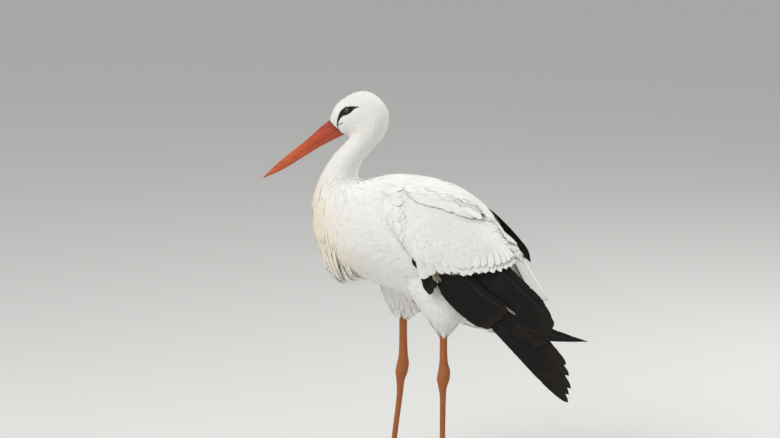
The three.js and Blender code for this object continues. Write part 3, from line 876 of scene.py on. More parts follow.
def plumage(name, feathers):
    """White with the cream tint and the black mask. Feathers add barbs and their own tone."""
    made, tree, shader = material(name, WHITE, 0.85, Specular_IOR_Level=0.25, Sheen_Weight=0.15)
    shady = excess(tree, mottle(tree, 38.0), 0.45, 1.1)
    white = blend(tree, maths(tree, "MAXIMUM", shady, 0.0), WHITE, SHADY_WHITE)
    if feathers:
        toned = maths(tree, "MULTIPLY", attribute(tree, "tone"), 0.35)
        white = blend(tree, toned, white, SHADY_WHITE)
    tinted = blend(tree, attribute(tree, "cream"), white, CREAM)
    # Wear and soil turn the white brown; the same mix paints shade in the shoulder's hollow and a
    # highlight on the black wing.
    wear_soil_and_painted_light = maths(tree, "MULTIPLY", attribute(tree, "worn"), 0.6)
    wear_soil_and_painted_light = maths(tree, "MAXIMUM", wear_soil_and_painted_light, attribute(tree, "soil_and_painted_light"))
    tinted = blend(tree, wear_soil_and_painted_light, tinted, SOIL_AND_PAINTED_LIGHT)
    marked = blend(tree, attribute(tree, "mask"), tinted, MASK_BLACK)
    feed(tree, shader.inputs["Base Color"], marked)
    if feathers:
        barbs = use_group(tree, BARBS, Rows=64.0, Slant=0.5)
        height = maths(tree, "ADD", barbs.outputs["Line"], barbs.outputs["Shaft"])
        relief(tree, shader, height, 0.12, 0.2)
    else:
        relief(tree, shader, mottle(tree, 900.0), 0.35, 0.4)
    return made


white_plumage = plumage("white_plumage", True)
bare_skin = plumage("bare_skin", False)
skin.data.materials.append(bare_skin)
hand_over(
    skin, "white_plumage", "head", "neck_upper", "neck_lower", "trunk", "thigh_left",
    "thigh_right", "wing_left_arm", "wing_right_arm",
)

# %% [markdown]
# The flight feathers are black from melanin, which makes them tough. Sun and wear turn them
# brown at the tips and in patches, and the shaft is paler than the vane. Their low colour is
# mixed from the mottling and the blade's own wear.

# %% Black flight feathers
BLACK, WORN_BROWN = (0.0065, 0.006, 0.006), (0.030, 0.021, 0.014)
SHAFT_GREY = (0.026, 0.022, 0.019)
black_feathers, tree, shader = material("black_feathers", BLACK, 0.55, Specular_IOR_Level=0.16)
faded = maths(tree, "MAXIMUM", excess(tree, mottle(tree, 26.0), 0.5, 1.6), 0.0)
faded = maths(tree, "ADD", faded, attribute(tree, "worn"))
vane = blend(tree, maths(tree, "MINIMUM", faded, 1.0), BLACK, WORN_BROWN)
barbs = use_group(tree, BARBS, Rows=110.0, Slant=0.12)
feed(tree, shader.inputs["Base Color"], blend(tree, barbs.outputs["Shaft"], vane, SHAFT_GREY))
relief(tree, shader, barbs.outputs["Line"], 0.3, 0.3)
print("finishes so far:", [finish.name for finish in bpy.data.materials])

# %% [markdown]
# ## Sowing roots
#
# Real feathers grow in even rows. Roots drawn quite at random would leave clumps and bald spots.
# So roots are drawn over the skin's triangles in proportion to area, many more than are needed,
# and a lattice keeps at most one root in each cell. The cell is as large as the wanted spacing,
# so the feathers are small and dense on the face and wide apart on the back. The skin is
# unwrapped first, because each feather takes its place on that map from its root.

# %% Unwrap of the skin
bpy.context.view_layer.objects.active = skin
skin.select_set(True)
bpy.ops.object.mode_set(mode="EDIT")
bpy.ops.mesh.select_all(action="SELECT")
bpy.ops.uv.smart_project(angle_limit=1.15, island_margin=0.003)
bpy.ops.object.mode_set(mode="OBJECT")
skin.data.uv_layers[0].name = "OFBake"
print("skin's map:", skin.data.uv_layers[0].name)

# %% Draw and thin the roots
TRIES = 4.0  # draws for each root that the spacing asks for
BANDS = 5  # sizes of cell for each factor e of spacing


def draw_on_triangles(area, spacing):
    """Numbers of triangles, and the shares (n, 3, 1) of their corners, in shuffled order."""
    ends = np.cumsum(area / spacing**2 * TRIES)
    draws = np.arange(int(ends[-1])) + random.random(int(ends[-1]))
    face = np.searchsorted(ends, draws.clip(0, ends[-1] * 0.999999))
    u, v = random.random((2, len(face)))
    over = u + v > 1
    u, v = np.where(over, 1 - u, u), np.where(over, 1 - v, v)
    share = np.stack([1 - u - v, u, v], 1)[..., None]
    order = random.permutation(len(face))
    return face[order], share[order]


def one_in_each_cell(place, spacing):
    """The first root in each cell of a lattice whose cells are as wide as the spacing."""
    band = np.round(np.log(spacing) * BANDS)
    cell = np.floor(place / np.exp(band / BANDS)[:, None])
    return np.unique(np.column_stack([band, cell]).astype(int), axis=0, return_index=True)[1]


def sow():
    """Places, normals, map places, directions and coat values of all roots."""
    mesh = skin.data
    mesh.calc_loop_triangles()
    corners = read(mesh.loop_triangles, "vertices", 3, np.int32)
    loops = read(mesh.loop_triangles, "loops", 3, np.int32)
    a, b, c = (skin_points[corners[:, k]] for k in range(3))
    area = np.linalg.norm(np.cross(b - a, c - a), axis=1) / 2
    face, share = draw_on_triangles(area, skin_coats[corners, SPACING].mean(1))

    def at_root(values, index=corners):
        """Values at the roots, from those at the corners of their triangles."""
        return (values[index[face]] * share).sum(1)

    place, coats = at_root(skin_points), at_root(skin_coats)
    normals = unit(at_root(read(mesh.vertices, "normal", 3)))
    spots = at_root(read(mesh.uv_layers["OFBake"].data, "uv", 2), loops)
    kept = one_in_each_cell(place, coats[:, SPACING])
    return [row[kept] for row in (place, normals, spots, unit(at_root(skin_ways)), coats)]


root_place, root_normal, root_spot, root_way, root_coat = sow()
print("roots:", len(root_place))

# %% [markdown]
# ## Feathers that follow the skin
#
# A real feather lies flat on the body and bends with it. A straight strip would cut through the
# skin on a hollow and stand off it on a ridge. So a feather's path starts at its root and steps
# along the lie of the coat. After each step it is pulled onto the skin by a Shrinkwrap modifier,
# which finds the closest skin point for all feathers at once, and the strip takes the skin's
# normal there.


# %% The closest place on the skin
def closest_on_skin(points, above=0.0):
    """The closest point of the skin for each point, or one `above` mm over it along the skin's
    normal, by a Shrinkwrap modifier on loose vertices."""
    flat = points.reshape(-1, 3)
    probe = new_piece("probe", new_mesh("probe", flat, [np.zeros((0, 3), int)]))
    fit = probe.modifiers.new("Fit", "SHRINKWRAP")
    fit.target, fit.wrap_method = skin, "NEAREST_SURFACEPOINT"
    fit.wrap_mode, fit.offset = "ABOVE_SURFACE" if above else "ON_SURFACE", above / 1000
    graph = bpy.context.evaluated_depsgraph_get()
    found = points_of(probe.evaluated_get(graph).data)
    mesh = probe.data
    bpy.data.objects.remove(probe)
    bpy.data.meshes.remove(mesh)
    return found.reshape(points.shape)


def skin_normal(points):
    """The skin's normal where it is closest to each point."""
    return unit(closest_on_skin(points, 1.0) - closest_on_skin(points))


eye_middle = np.array([[EYE["x"], LEFT * EYE["out"], EYE["z"]]])
to_eye = np.linalg.norm(closest_on_skin(eye_middle) - eye_middle)
print("from the eye's middle to the skin:", round(float(to_eye), 1), "mm")

# %% Paths on the skin and off it
STATIONS = np.array([0, 0.3, 0.6, 0.8, 0.93, 1.0])  # shares of a feather's length
SHORT_STATIONS = np.array([0, 0.35, 0.75, 1.0])


def along_skin(root, normal, way, length, stations, cling=1.0):
    """Path, headings and normals, all (n, stations, 3). Each step is `length` times the gap between
    stations, along the heading, then back onto the skin, whose normal it takes unless that has
    turned away round an edge. A feather that clings less than 1 keeps part of its distance where
    the skin falls away under it, and so comes to hang free."""
    heading = unit(way - normal * dot(way, normal))
    points, headings, normals = [root], [heading], [normal]
    for gap in np.diff(stations):
        free = points[-1] + unit(heading + way * (1 - cling)) * (length * gap)[:, None]
        found = closest_on_skin(free)
        surface = unit(closest_on_skin(free, 1.0) - found)
        follow = cling * smooth(-0.1, 0.5, dot(normal, surface))
        normal = unit(normal + (surface - normal) * follow)
        outside = dot(free - found, normal) > 0
        found = found + (free - found) * outside * (1 - cling)
        heading = unit(found - points[-1])
        normal = unit(normal - heading * dot(normal, heading))
        points.append(found)
        headings.append(heading)
        normals.append(normal)
    return tuple(np.stack(rows, 1) for rows in (points, headings, normals))


def along_arc(root, middle, tip, outward, stations):
    """The same for feathers that leave the skin: the path is the curve (1-s)^2 root +
    2s(1-s) middle + s^2 tip, and its normals lean to `outward`."""
    s = stations[None, :, None]
    root, middle, tip = (p[:, None] for p in (root, middle, tip))
    line = (1 - s) ** 2 * root + 2 * s * (1 - s) * middle + s * s * tip
    heading = unit(2 * (1 - s) * (middle - root) + 2 * s * (tip - middle))
    outward = np.broadcast_to(outward[:, None], heading.shape)
    return line, heading, unit(outward - heading * dot(outward, heading))


# %% [markdown]
# ## The strip
#
# The strip itself has few faces, because there are thousands: a ring of a few points at each
# station and a blunt end. A pointed strip is hair-like and suits head, neck and belly. A round
# one suits the back and the wings, and its tip is frayed: the points across it end at different
# lengths. A strip rises from root to tip, quickly at first and slowly at last, so that each
# feather lies over the roots of the next as tiles do, while the tips make one calm surface.

# %% Strips
POINTED = np.array([(0, 0.5), (0.3, 0.95), (0.6, 0.95), (0.8, 0.72), (0.93, 0.36), (1, 0.06)])
ROUNDED = np.array([(0, 0.35), (0.3, 0.88), (0.6, 1.0), (0.8, 0.95), (0.93, 0.72), (1, 0.3)])
# Points across a strip, which of them lie on its under side, and how many faces are on top. Only
# the top is shaded smoothly, so that the thin edge stays crisp and doesn't darken the vane.
SLIM = {"across": np.array([-1, 0, 1, 0]), "below": np.array([0, 0, 0, 1]), "top": 2}
BROAD = {
    "across": np.array([-1, -0.5, 0, 0.5, 1, 0.45, -0.45]),
    "below": np.array([0, 0, 0, 0, 0, 1, 1]),
    "top": 4,
}
VANE_THICKNESS = 0.17  # mm
BOW = 0.22  # how far the shading leans to each side
ROOT_HEIGHT = 0.3  # mm over the skin
FRAY, FRAY_BACK = 0.035, 0.02  # shares of the length by which the tip's points differ and fall back
ROLL = 0.018  # turn of a feather about its shaft, in radians
CALM = 0.012  # share by which the heights of the tips differ


def strips(paths, coat, ring, stations):
    """Points (n, stations, ring, 3) of closed strips along paths, and the normals to shade them by.
    Across, a strip is its form times half the width. Its height is depth (1 - (1 - s)^3), less a
    round fall to its edges. Its shading is the skin's, leaning to each side."""
    line, heading, up = paths
    count = len(line)
    length, width, depth, roundness = coat[:, [LENGTH, WIDTH, DEPTH, ROUNDNESS]].T
    side = unit(np.cross(heading, up))
    pointed, rounded = (np.interp(stations, *form.T) for form in (POINTED, ROUNDED))
    form = pointed + (rounded - pointed) * roundness[:, None]
    half = (width[:, None] / 2 * form)[..., None] * ring["across"]
    fray = random.uniform(-FRAY, FRAY, (count, 1, len(ring["across"])))
    fray = (fray - FRAY_BACK * ring["across"] ** 2) * stations[None, :, None] ** 9
    fray = fray * (length * (0.3 + 0.7 * roundness))[:, None, None]
    depth = depth * (1 + random.normal(0, CALM, count))
    rise = ROOT_HEIGHT + depth[:, None] * (1 - (1 - stations) ** 3)
    roll = random.normal(0, ROLL, (count, 1, 1)) * half
    fall = half**2 / 160 + half**2 / np.maximum(width, 1)[:, None, None] * 0.05
    thin = VANE_THICKNESS * np.minimum(1, width / 6)[:, None, None] * ring["below"]
    height = rise[..., None] - fall + roll - thin
    points = (
        line[:, :, None]
        + side[:, :, None] * half[..., None]
        + heading[:, :, None] * fray[..., None]
        + up[:, :, None] * height[..., None]
    )
    lean = BOW * ring["across"][:, None] * side[:, :, None]
    return points, unit(up[:, :, None] + lean)


def strip_faces(count, stations, ring):
    """Walls round each strip and one face over each end, for `count` strips."""
    ends = np.stack([np.arange(ring)[::-1], np.arange(ring) + (stations - 1) * ring])
    offset = np.arange(count)[:, None, None] * stations * ring
    walls = wall_faces(stations, ring) + offset
    return [walls.reshape(-1, 4), (ends + offset).reshape(-1, ring)]


print("faces of a slim strip and a broad one:",
      [sum(map(len, strip_faces(1, 6, len(ring["across"])))) for ring in (SLIM, BROAD)])

# %% [markdown]
# A coat piece is one mesh of thousands of strips. Two things make it look like one coat and not
# like confetti. All strips are shaded by the skin's normals, as if the light fell on one
# surface. Edges, under sides and ends keep their own normals, leaning to the skin's, so that a
# thin edge isn't a dark line. And each strip has one small patch on the skin's map, so a baked
# colour is its own.

# %% A piece of the coat
COAT_PATCH = 0.003  # size of one feather's place on the skin's map
RIM_LEAN = 0.75  # share of the skin's normal in the shading of edges and under sides


def strip_normals(mesh, normals, walls, ends, top):
    """Shading normals of all face corners: shared ones on the `top` faces of each ring, and own
    ones leaning to them elsewhere."""
    sides, wall_count = ends.shape[1], len(walls)
    own = read(mesh.polygons, "normal", 3)
    own = np.repeat(own, [4] * wall_count + [sides] * len(ends), 0)
    shared = normals.reshape(-1, 3)[np.concatenate([walls.ravel(), ends.ravel()])]
    on_top = np.repeat(np.arange(wall_count) % sides < top, 4)
    on_top = np.append(on_top, np.zeros(ends.size, bool))[:, None]
    return np.where(on_top, shared, unit(own + RIM_LEAN * shared))


def coat_piece(name, made, ring, stations, spot, finish):
    """One mesh of all strips, with the skin's map for baking, a map along and across each feather,
    and the shared marks."""
    points, normals = made
    count, steps, sides = points.shape[:3]
    flat = points.reshape(-1, 3)
    walls, ends = strip_faces(count, steps, sides)
    mesh = new_mesh(name, flat, [walls, ends])
    mesh.normals_split_custom_set(strip_normals(mesh, normals, walls, ends, ring["top"]))
    across, along = np.broadcast_arrays(ring["across"] / 2 + 0.5, stations[:, None])
    local = np.broadcast_to(np.stack([across, along], -1), (count, steps, sides, 2))
    baked = spot[:, None, None] + (local - 0.5) * COAT_PATCH
    set_map(mesh, "OFBake", baked.reshape(-1, 2).clip(0, 1))
    set_map(mesh, "Feather", local.reshape(-1, 2))
    mark(mesh, flat, np.repeat(points[:, 3:].mean((1, 2)), steps * sides, 0))
    set_attribute(mesh, "tone", np.repeat(random.uniform(0, 1, count), steps * sides))
    set_attribute(mesh, "worn", np.zeros(len(flat)))
    hand_over(new_piece(name, mesh, finish), "white_plumage")


# %% [markdown]
# ## The coat
#
# Every feather differs a little from its neighbour in length, width and direction. Near the
# black mask feathers are cut short, so that the mask keeps its edge. At a sharp edge of the skin
# a long feather would fold round it like paper. There it is made shorter and reaches straight
# over the edge, and where the edge is very sharp none grows.

# %% Grow the feathers of chosen roots
SPREAD_OF_SIZES = (0.85, 1.15)
TWIST = 0.08  # radians by which directions differ
ON_MASK = 0.3  # the mask's value from which a place counts as black


def level_roots(rows):
    """The rows of those roots on both sides of which the skin stays level for half the width."""
    normal = root_normal[rows]
    aside = np.cross(normal, root_way[rows]) * root_coat[rows][:, [WIDTH]] / 2
    level = [dot(normal, skin_normal(root_place[rows] + s * aside)) for s in (-1, 1)]
    return rows[np.minimum(*level)[:, 0] > 0.5]


def grow(name, chosen, ring, stations=STATIONS):
    """The strips of all chosen roots as one piece."""
    rows = level_roots(np.flatnonzero(chosen))
    coat = root_coat[rows].copy()
    coat[:, LENGTH] *= random.uniform(*SPREAD_OF_SIZES, len(rows))
    coat[:, WIDTH] *= random.uniform(*SPREAD_OF_SIZES, len(rows))
    place, normal = root_place[rows], root_normal[rows]
    twist = random.normal(0, TWIST, len(rows))[:, None]
    way = unit(root_way[rows] + np.cross(normal, root_way[rows]) * twist)
    for share in (0.9, 0.6, 0.35):  # shorter where this share of the length lies on the mask
        tip_on_mask = face_mask(place + way * coat[:, [LENGTH]] * share) > ON_MASK
        coat[tip_on_mask, LENGTH] *= 0.72
    over_edge = smooth(0.6, 0.1, dot(normal, skin_normal(place + way * coat[:, [LENGTH]])))
    coat[:, LENGTH] *= 1 - 0.55 * over_edge[:, 0]
    paths = along_skin(place, normal, way, coat[:, LENGTH], stations, 1 - 0.6 * over_edge)
    made = strips(paths, coat, ring, stations)
    coat_piece(name, made, ring, stations, root_spot[rows], white_plumage)


# %% [markdown]
# The roots are parted into zones, because one mesh of the whole coat would be too large to
# handle. None grows on the mask, where the bill leaves the head, or on the thin rear end of a
# fore-arm's inner face, which lies against the body.

# %% Zones of the coat
HEAD_END, NECK_END = 6.2, 11  # places along the body
BILL_ROOT = {"x": -93, "low": 648, "high": 667, "slope": 0.6}
THIN_END = 170  # x behind which the fore-arm is thin

along, on_arm, on_thigh = root_coat[:, ALONG], root_coat[:, ON_ARM], root_coat[:, ON_THIGH]
x, y, z = root_place.T
in_bill = (x < BILL_ROOT["x"]) & (z > BILL_ROOT["low"])
in_bill &= z < BILL_ROOT["high"] + (BILL_ROOT["x"] - x) * BILL_ROOT["slope"]
inwards = root_normal[:, 1] * np.sign(y) < -0.15
grows = (face_mask(root_place) < ON_MASK) & ~in_bill
grows &= (on_arm < 0.5) | (x < THIN_END) | ~inwards
on_body = grows & (on_arm < 0.5) & (on_thigh < 0.5)
behind_neck = on_body & (along >= NECK_END)
round_ones = root_coat[:, ROUNDNESS] > 0.42
grow("coat_head", on_body & (along < HEAD_END), SLIM, SHORT_STATIONS)
grow("coat_neck", on_body & (along >= HEAD_END) & (along < NECK_END), SLIM)
grow("coat_breast", behind_neck & ~round_ones, SLIM)
grow("coat_thighs", grows & (on_thigh >= 0.5), SLIM)
for side, here in {LEFT: y < 0, RIGHT: y >= 0}.items():
    grow(f"coat_back_{NAMES[side]}", behind_neck & round_ones & here, BROAD)
    grow(f"coat_wing_{NAMES[side]}", grows & (on_arm >= 0.5) & here, BROAD)

# %% [markdown]
# ## Feathers that leave the body
#
# Some feathers are too long to lie in the coat, and they make the bird's outline soft: the loose
# plume at the breast, the fringe round the top of the bare leg, the tufts under belly and tail,
# the pad of long scapulars over the shoulder, and the row of large white coverts over the black
# flight feathers. Their tips are worked out first, because those are what one sees. Each feather
# then runs from its root on the skin towards its tip, either along the skin, clinging to it more
# or less, or as an arc in the air.


# %% Loose feathers
def nearest_root(points):
    """The number of the root nearest each point, out of every third root."""
    near = [
        np.sum((chunk[:, None] - root_place[None, ::3]) ** 2, -1).argmin(1) * 3
        for chunk in np.array_split(points, max(1, len(points) // 200))
    ]
    return np.concatenate(near)


def loose(name, start, tip, coat, ring=SLIM, sag=0.0, cling=None, sink=0.0, up=None):
    """Feathers from start to tip points. `coat` gives width, depth and roundness, each a number or
    one for every feather. Feathers that cling run along the skin towards their tips. The others are
    arcs in the air, whose middle is out from the skin by `sag` of the length. All start `sink` mm
    under the skin, where the coat hides their quills. `up` stands in for the skin's normal."""
    nearest = nearest_root(start)
    normal = root_normal[nearest] if up is None else np.broadcast_to(unit(up), start.shape)
    start = start - normal * sink
    length = np.linalg.norm(tip - start, axis=1)
    rows = np.zeros((len(start), 8))
    rows[:, LENGTH] = length
    rows[:, WIDTH], rows[:, DEPTH], rows[:, ROUNDNESS] = coat
    middle = (start + tip) / 2 + normal * (length * sag)[:, None]
    if cling is None:
        paths = along_arc(start, middle, tip, normal, STATIONS)
    else:
        paths = along_skin(start, normal, unit(tip - start), length, STATIONS, cling)
    made = strips(paths, rows, ring, STATIONS)
    coat_piece(name, made, ring, STATIONS, root_spot[nearest], white_plumage)


def sown_in_box(count, low, high):
    """Places on the skin closest to points spread evenly in a box."""
    return closest_on_skin(random.uniform(low, high, (count, 3)))


def in_tufts(tips, count, pull):
    """Tips drawn together: each moves by `pull` of the way to the nearest of `count` of them."""
    heads = tips[random.choice(len(tips), count, replace=False)]
    nearest = np.sum((tips[:, None] - heads[None]) ** 2, -1).argmin(1)
    return tips + (heads[nearest] - tips) * pull


# %% [markdown]
# A stork's breast carries a plume of long, loose, pointed feathers that hang in wisps. Their
# roots are densest on the front of the breast. They hang down and a little back, and turn their
# flat sides outwards, or one would see only their thin edges from the side.

# %% Breast plume
PLUME_BOX = (-150, -48, 420), (-50, 48, 590)
PLUME_DROP = (40, 74)  # mm from root to tip, the shorter the further back
roots = sown_in_box(2200, *PLUME_BOX)
x, _, z = roots.T
ahead = smooth(-74, -124, x - 0.2 * (z - 450)) * smooth(1.0, 0.6, (z - 440) / 150)
belly = (z < 440) & (x < -58) & (random.random(len(x)) < 0.35)
roots = roots[(random.random(len(x)) < ahead) | belly]
x, y, z = roots.T
count = len(roots)
drop = random.uniform(*PLUME_DROP, count) * (0.74 + 0.26 * smooth(-70, -115, x))
back, aside = drop * random.normal(0.30, 0.06, count), random.normal(0, 2.5, count) - y * 0.08
tips = roots + np.column_stack([back, aside, -drop])
wide = random.uniform(2.6, 5.6, count)
cling = 0.2 + 0.7 * smooth(-80, -36, x - 0.25 * (z - 450))[:, None]
to_side = y / 22 + random.normal(0, 0.3, count)
up = np.column_stack([np.full(count, -0.7), to_side, np.full(count, 0.1)])
loose("coat_plume", roots, in_tufts(tips, 90, 0.5), (wide, 6.3, 0.0), cling=cling, up=up)

# %% [markdown]
# Where feathered thigh meets bare leg, the last feathers hang over the skin as a ragged cuff.
# Their roots stand in rings round the thigh's end, and their tips in narrower rings below. The
# belly between the thighs and the vent under the tail end in the same soft way.

# %% Leg fringes
FRINGE = {LEFT: (111, 322), RIGHT: (12, 338)}  # x of the leg, and the lowest roots' z
FRINGE_TOP, LEG_TOP, FRINGE_COUNT = 366, 306, 420
fringe_roots, fringe_tips = [], []
for side, (middle, low) in FRINGE.items():
    turn = random.uniform(0, 2 * np.pi, FRINGE_COUNT)
    high = random.uniform(low, FRINGE_TOP, FRINGE_COUNT)
    wide = 10 + (high - LEG_TOP) * 0.42
    ahead, aside = np.cos(turn) * wide, np.sin(turn) * wide * 0.9
    fringe_roots.append(np.column_stack([
        middle - (high - LEG_TOP) * 0.10 + ahead, side * 40 + aside, high
    ]))
    fringe_tips.append(np.column_stack([
        middle + ahead * 0.68 + random.normal(0, 1.5, FRINGE_COUNT), side * 39 + aside * 0.68,
        high - random.uniform(18, 35, FRINGE_COUNT),
    ]))
tips = in_tufts(np.concatenate(fringe_tips), 150, 0.4)
cling = random.uniform(0.15, 0.6, (len(tips), 1))
roots = closest_on_skin(np.concatenate(fringe_roots))
loose("coat_fringes", roots, tips, (3.4, 4.2, 0.0), cling=cling)

# %% Belly between the thighs, and vent under the tail
BELLY_COUNT, VENT_COUNT = 320, 260
roots = sown_in_box(BELLY_COUNT, (22, -34, 325), (96, 34, 350))
tips = roots + np.column_stack([
    random.uniform(4, 14, BELLY_COUNT), random.normal(0, 2, BELLY_COUNT),
    random.uniform(-42, -26, BELLY_COUNT),
])
loose("coat_belly", roots, in_tufts(tips, 60, 0.4), (5.0, 5.0, 0.0), cling=0.3)

roots = sown_in_box(VENT_COUNT, (178, -36, 316), (232, 30, 350))
tips = roots + np.column_stack([
    random.uniform(-2, 12, VENT_COUNT), roots[:, 1] * -0.1, random.uniform(-30, -12, VENT_COUNT)
])
loose("coat_vent", roots, in_tufts(tips, 50, 0.5), (4.5, 4.0, 0.1), cling=0.3)

# %% [markdown]
# Over this bird's left shoulder some feathers are ruffled and leave a small hollow, whose grey is
# painted shade from the marks. A few broad ones stand up as arcs along the hollow's lower edge.

# %% Ruffled feathers over the left shoulder
RUFFLE_COUNT = 44
turn = random.uniform(np.radians(-200), np.radians(20), RUFFLE_COUNT)
roots = closest_on_skin(np.column_stack([
    8 + 15 * np.cos(turn), np.full(RUFFLE_COUNT, -75.0),
    558 + 7 * np.sin(turn) - 5 * np.cos(turn),
]))
tips = roots + np.array([15, -8, -3]) + random.normal(0, 1.5, (RUFFLE_COUNT, 3))
loose("coat_ruffle", roots, tips, (8, 3.0, 0.8), BROAD, sag=0.3)

# %% [markdown]
# ## Scapulars and great coverts
#
# Long scapulars grow on the shoulder and lie back over the wing as a smooth pad with a rounded
# end. Below them, a row of great coverts reaches past the fore-arm. Their tips are the toothed
# white edge over the black. Both are rows: the tips follow a curve, and each row above is set
# back a little. The pad clings to the skin. The coverts are arcs that all face sideways, because
# the skin under their roots turns away at the rear.

# %% Scapulars
SCAPULAR_TIPS = [  # x, distance from the middle, z, along the pad's lower edge
    (84, 78, 549), (106, 74, 543), (128, 69, 535), (150, 63, 526),
    (173, 55, 515), (198, 46, 505), (214, 39, 499), (226, 33, 496),
]
SCAPULAR_ROWS, LOWEST_ROW = 9, 26  # the lowest row has 26 feathers, each row above one less
ROW_STEP = np.array([-6.5, -4.5, 4])
ROOT_FRONT, ROOT_REAR = (-40, -12, 24), (-66, -8, 22)  # from tip to root, at each end of a row


def scapulars(side):
    """Roots and tips of one wing's scapulars, on the skin."""
    roots, tips = [], []
    for row in range(SCAPULAR_ROWS):
        count = LOWEST_ROW - row
        ends = spline(SCAPULAR_TIPS, np.linspace(0, len(SCAPULAR_TIPS) - 1, count))
        ends = ends + random.normal(0, 1.2, (count, 3)) + row * ROW_STEP
        roots.append(ends + np.linspace(ROOT_FRONT, ROOT_REAR, count))
        tips.append(ends)
    fold = np.array([FOLD[side], side, 1])
    return (closest_on_skin(np.concatenate(rows) * fold) for rows in (roots, tips))


# %% Great coverts
COVERT_TIPS = np.array([  # x, distance from the middle, z, width
    (91, 96, 417, 20), (104, 96, 424, 17), (121, 97, 428, 17), (134, 97.5, 429, 17),
    (147, 97.5, 429, 17), (162, 97, 426, 17), (174, 96, 427, 17), (188, 94.5, 430, 16),
    (201, 92.5, 432, 14), (214, 90, 432, 15), (226, 87, 435, 14), (236, 84, 438, 13),
    (243, 81, 442, 13), (248, 78, 448, 12),
])
SECOND_ROW = np.array([-3, 1, 11])  # set over the roots of the row that shows
COVERT_FRONT, COVERT_REAR = (-7, -4, 42), (-15, -4, 42)  # from tip to root


def great_coverts(side):
    """Roots on the skin, and tips, of one wing's great coverts."""
    shown = COVERT_TIPS[:, :3]
    tips = np.concatenate([shown, shown + SECOND_ROW])
    back = np.tile(np.linspace(COVERT_FRONT, COVERT_REAR, len(shown)), (2, 1))
    fold = np.array([FOLD[side], side, 1])
    return closest_on_skin((tips + back) * fold), tips * fold


covert_width = np.tile(COVERT_TIPS[:, 3], 2)
for side in (LEFT, RIGHT):
    roots, tips = scapulars(side)
    deep = 7.0 + 4.0 * smooth(150, 200, tips[:, 0])
    loose(f"coat_scapulars_{NAMES[side]}", roots, tips, (17, deep, 1.0), BROAD, cling=0.6)
    shape, up = (covert_width, 3.4, 1.25), np.array([0.12, side, 0.1])
    name = f"coat_coverts_{NAMES[side]}"
    loose(name, *great_coverts(side), shape, BROAD, sag=0.1, sink=4.0, up=up)

# %% [markdown]
# ## Flight feathers
#
# A flight feather is a long closed blade with a shaft nearer its leading edge. Folded, all of a
# wing's feathers lie on one curved sheet, here the side of an ellipsoid, and every feather is
# tilted a little so that its lower edge lies over the next one, as slats do. The edges are
# nicked where barbs have parted. Each blade is a mesh of its own ring points, as the strips are,
# but fine enough to be looked at alone, with the shaft as a real ridge.

# %% The sheet and the blade's ring
SHEET = {"x": 110, "z": 440, "along": 420, "out": 95, "up": 300, "down": 480}
BLADE_STEPS = np.linspace(0, 1, 64) ** 0.9
ACROSS = np.array([-1, -0.86, -0.6, -0.3, 0, 0.2, 0.27, 0.3, 0.33, 0.45, 0.7, 0.88, 1])
SHAFT_AT, SHAFT_HEIGHT = 0.3, 0.45
BLADE_THICKNESS = 0.55  # mm
RING_ACROSS = np.concatenate([ACROSS, ACROSS[::-1]])  # there on the upper face, back on the lower
UPPER_FACE = np.arange(len(RING_ACROSS)) < len(ACROSS)


def sheet_out(x, z, depth):
    """Distance of the sheet from the bird's middle plane, `depth` below its outer side."""
    tall = np.where(z > SHEET["z"], SHEET["up"], SHEET["down"])
    ahead, over = (x - SHEET["x"]) / (SHEET["along"] - depth), (z - SHEET["z"]) / (tall - depth)
    return (SHEET["out"] - depth) * np.sqrt(np.maximum(1 - (ahead**2 + over**2), 0.02))


def half_widths(width, sharp=False):
    """Half widths (stations, ring): narrow at the quill, parallel, then a rounded tip or a long
    point, with a few nicks in each edge."""
    t = BLADE_STEPS[:, None]
    near = np.clip((t - (0.3 if sharp else 0.72)) / (0.7 if sharp else 0.28), 0, 1)
    tip = 1 - near**1.2 if sharp else np.sqrt(np.maximum(1 - near**2.2, 0))
    half = width / 2 * np.minimum(1, 0.35 + 2.6 * t) * np.maximum(tip, 0.015)
    nick_at = random.uniform(0.35, 0.97, (1, 2, 3))
    nick = random.uniform(0.02, 0.13, (1, 2, 3))
    nicks = np.sum(nick * bump_at(t[:, :, None], nick_at, 0.011), -1)
    ripple = random.normal(0, 0.008, (len(t), 2))
    edges = half * (1 - nicks + ripple)
    return np.where(RING_ACROSS > 0, edges[:, 1:], edges[:, :1])


# %% One blade, and a piece of many
def blade(side, root, tip, width, bow, depth, tilt, sharp=False):
    """Ring points (stations, ring, 3) of one flight feather on the sheet. Its middle line is
    root + axis t, bowed by 4 t (1 - t), and `level` is its depth below the sheet's outer side."""
    root, axis = np.array(root, float), np.array(tip, float) - root
    length = np.linalg.norm(axis)
    down = np.array([axis[1], -axis[0]]) / length
    t = BLADE_STEPS[:, None]
    half = half_widths(width, sharp)
    fray = random.normal(0, 1.0, RING_ACROSS.shape)[None] * t**18
    reach = bow * 4 * t * (1 - t) + RING_ACROSS * half
    flat = root + axis * (t + fray / length)[..., None] + down * reach[..., None]
    ridge = SHAFT_HEIGHT * bump_at(RING_ACROSS, SHAFT_AT, 0.045) * (1 - 0.8 * t)
    level = depth - tilt * RING_ACROSS * half / (width / 2) + 0.25 * RING_ACROSS**2
    under = BLADE_THICKNESS * (1 - 0.3 * RING_ACROSS**2)
    level = level + np.where(UPPER_FACE, -ridge, under)
    x, z = flat[..., 0], flat[..., 1]
    return np.stack([x, side * sheet_out(x, z, level), z], -1)


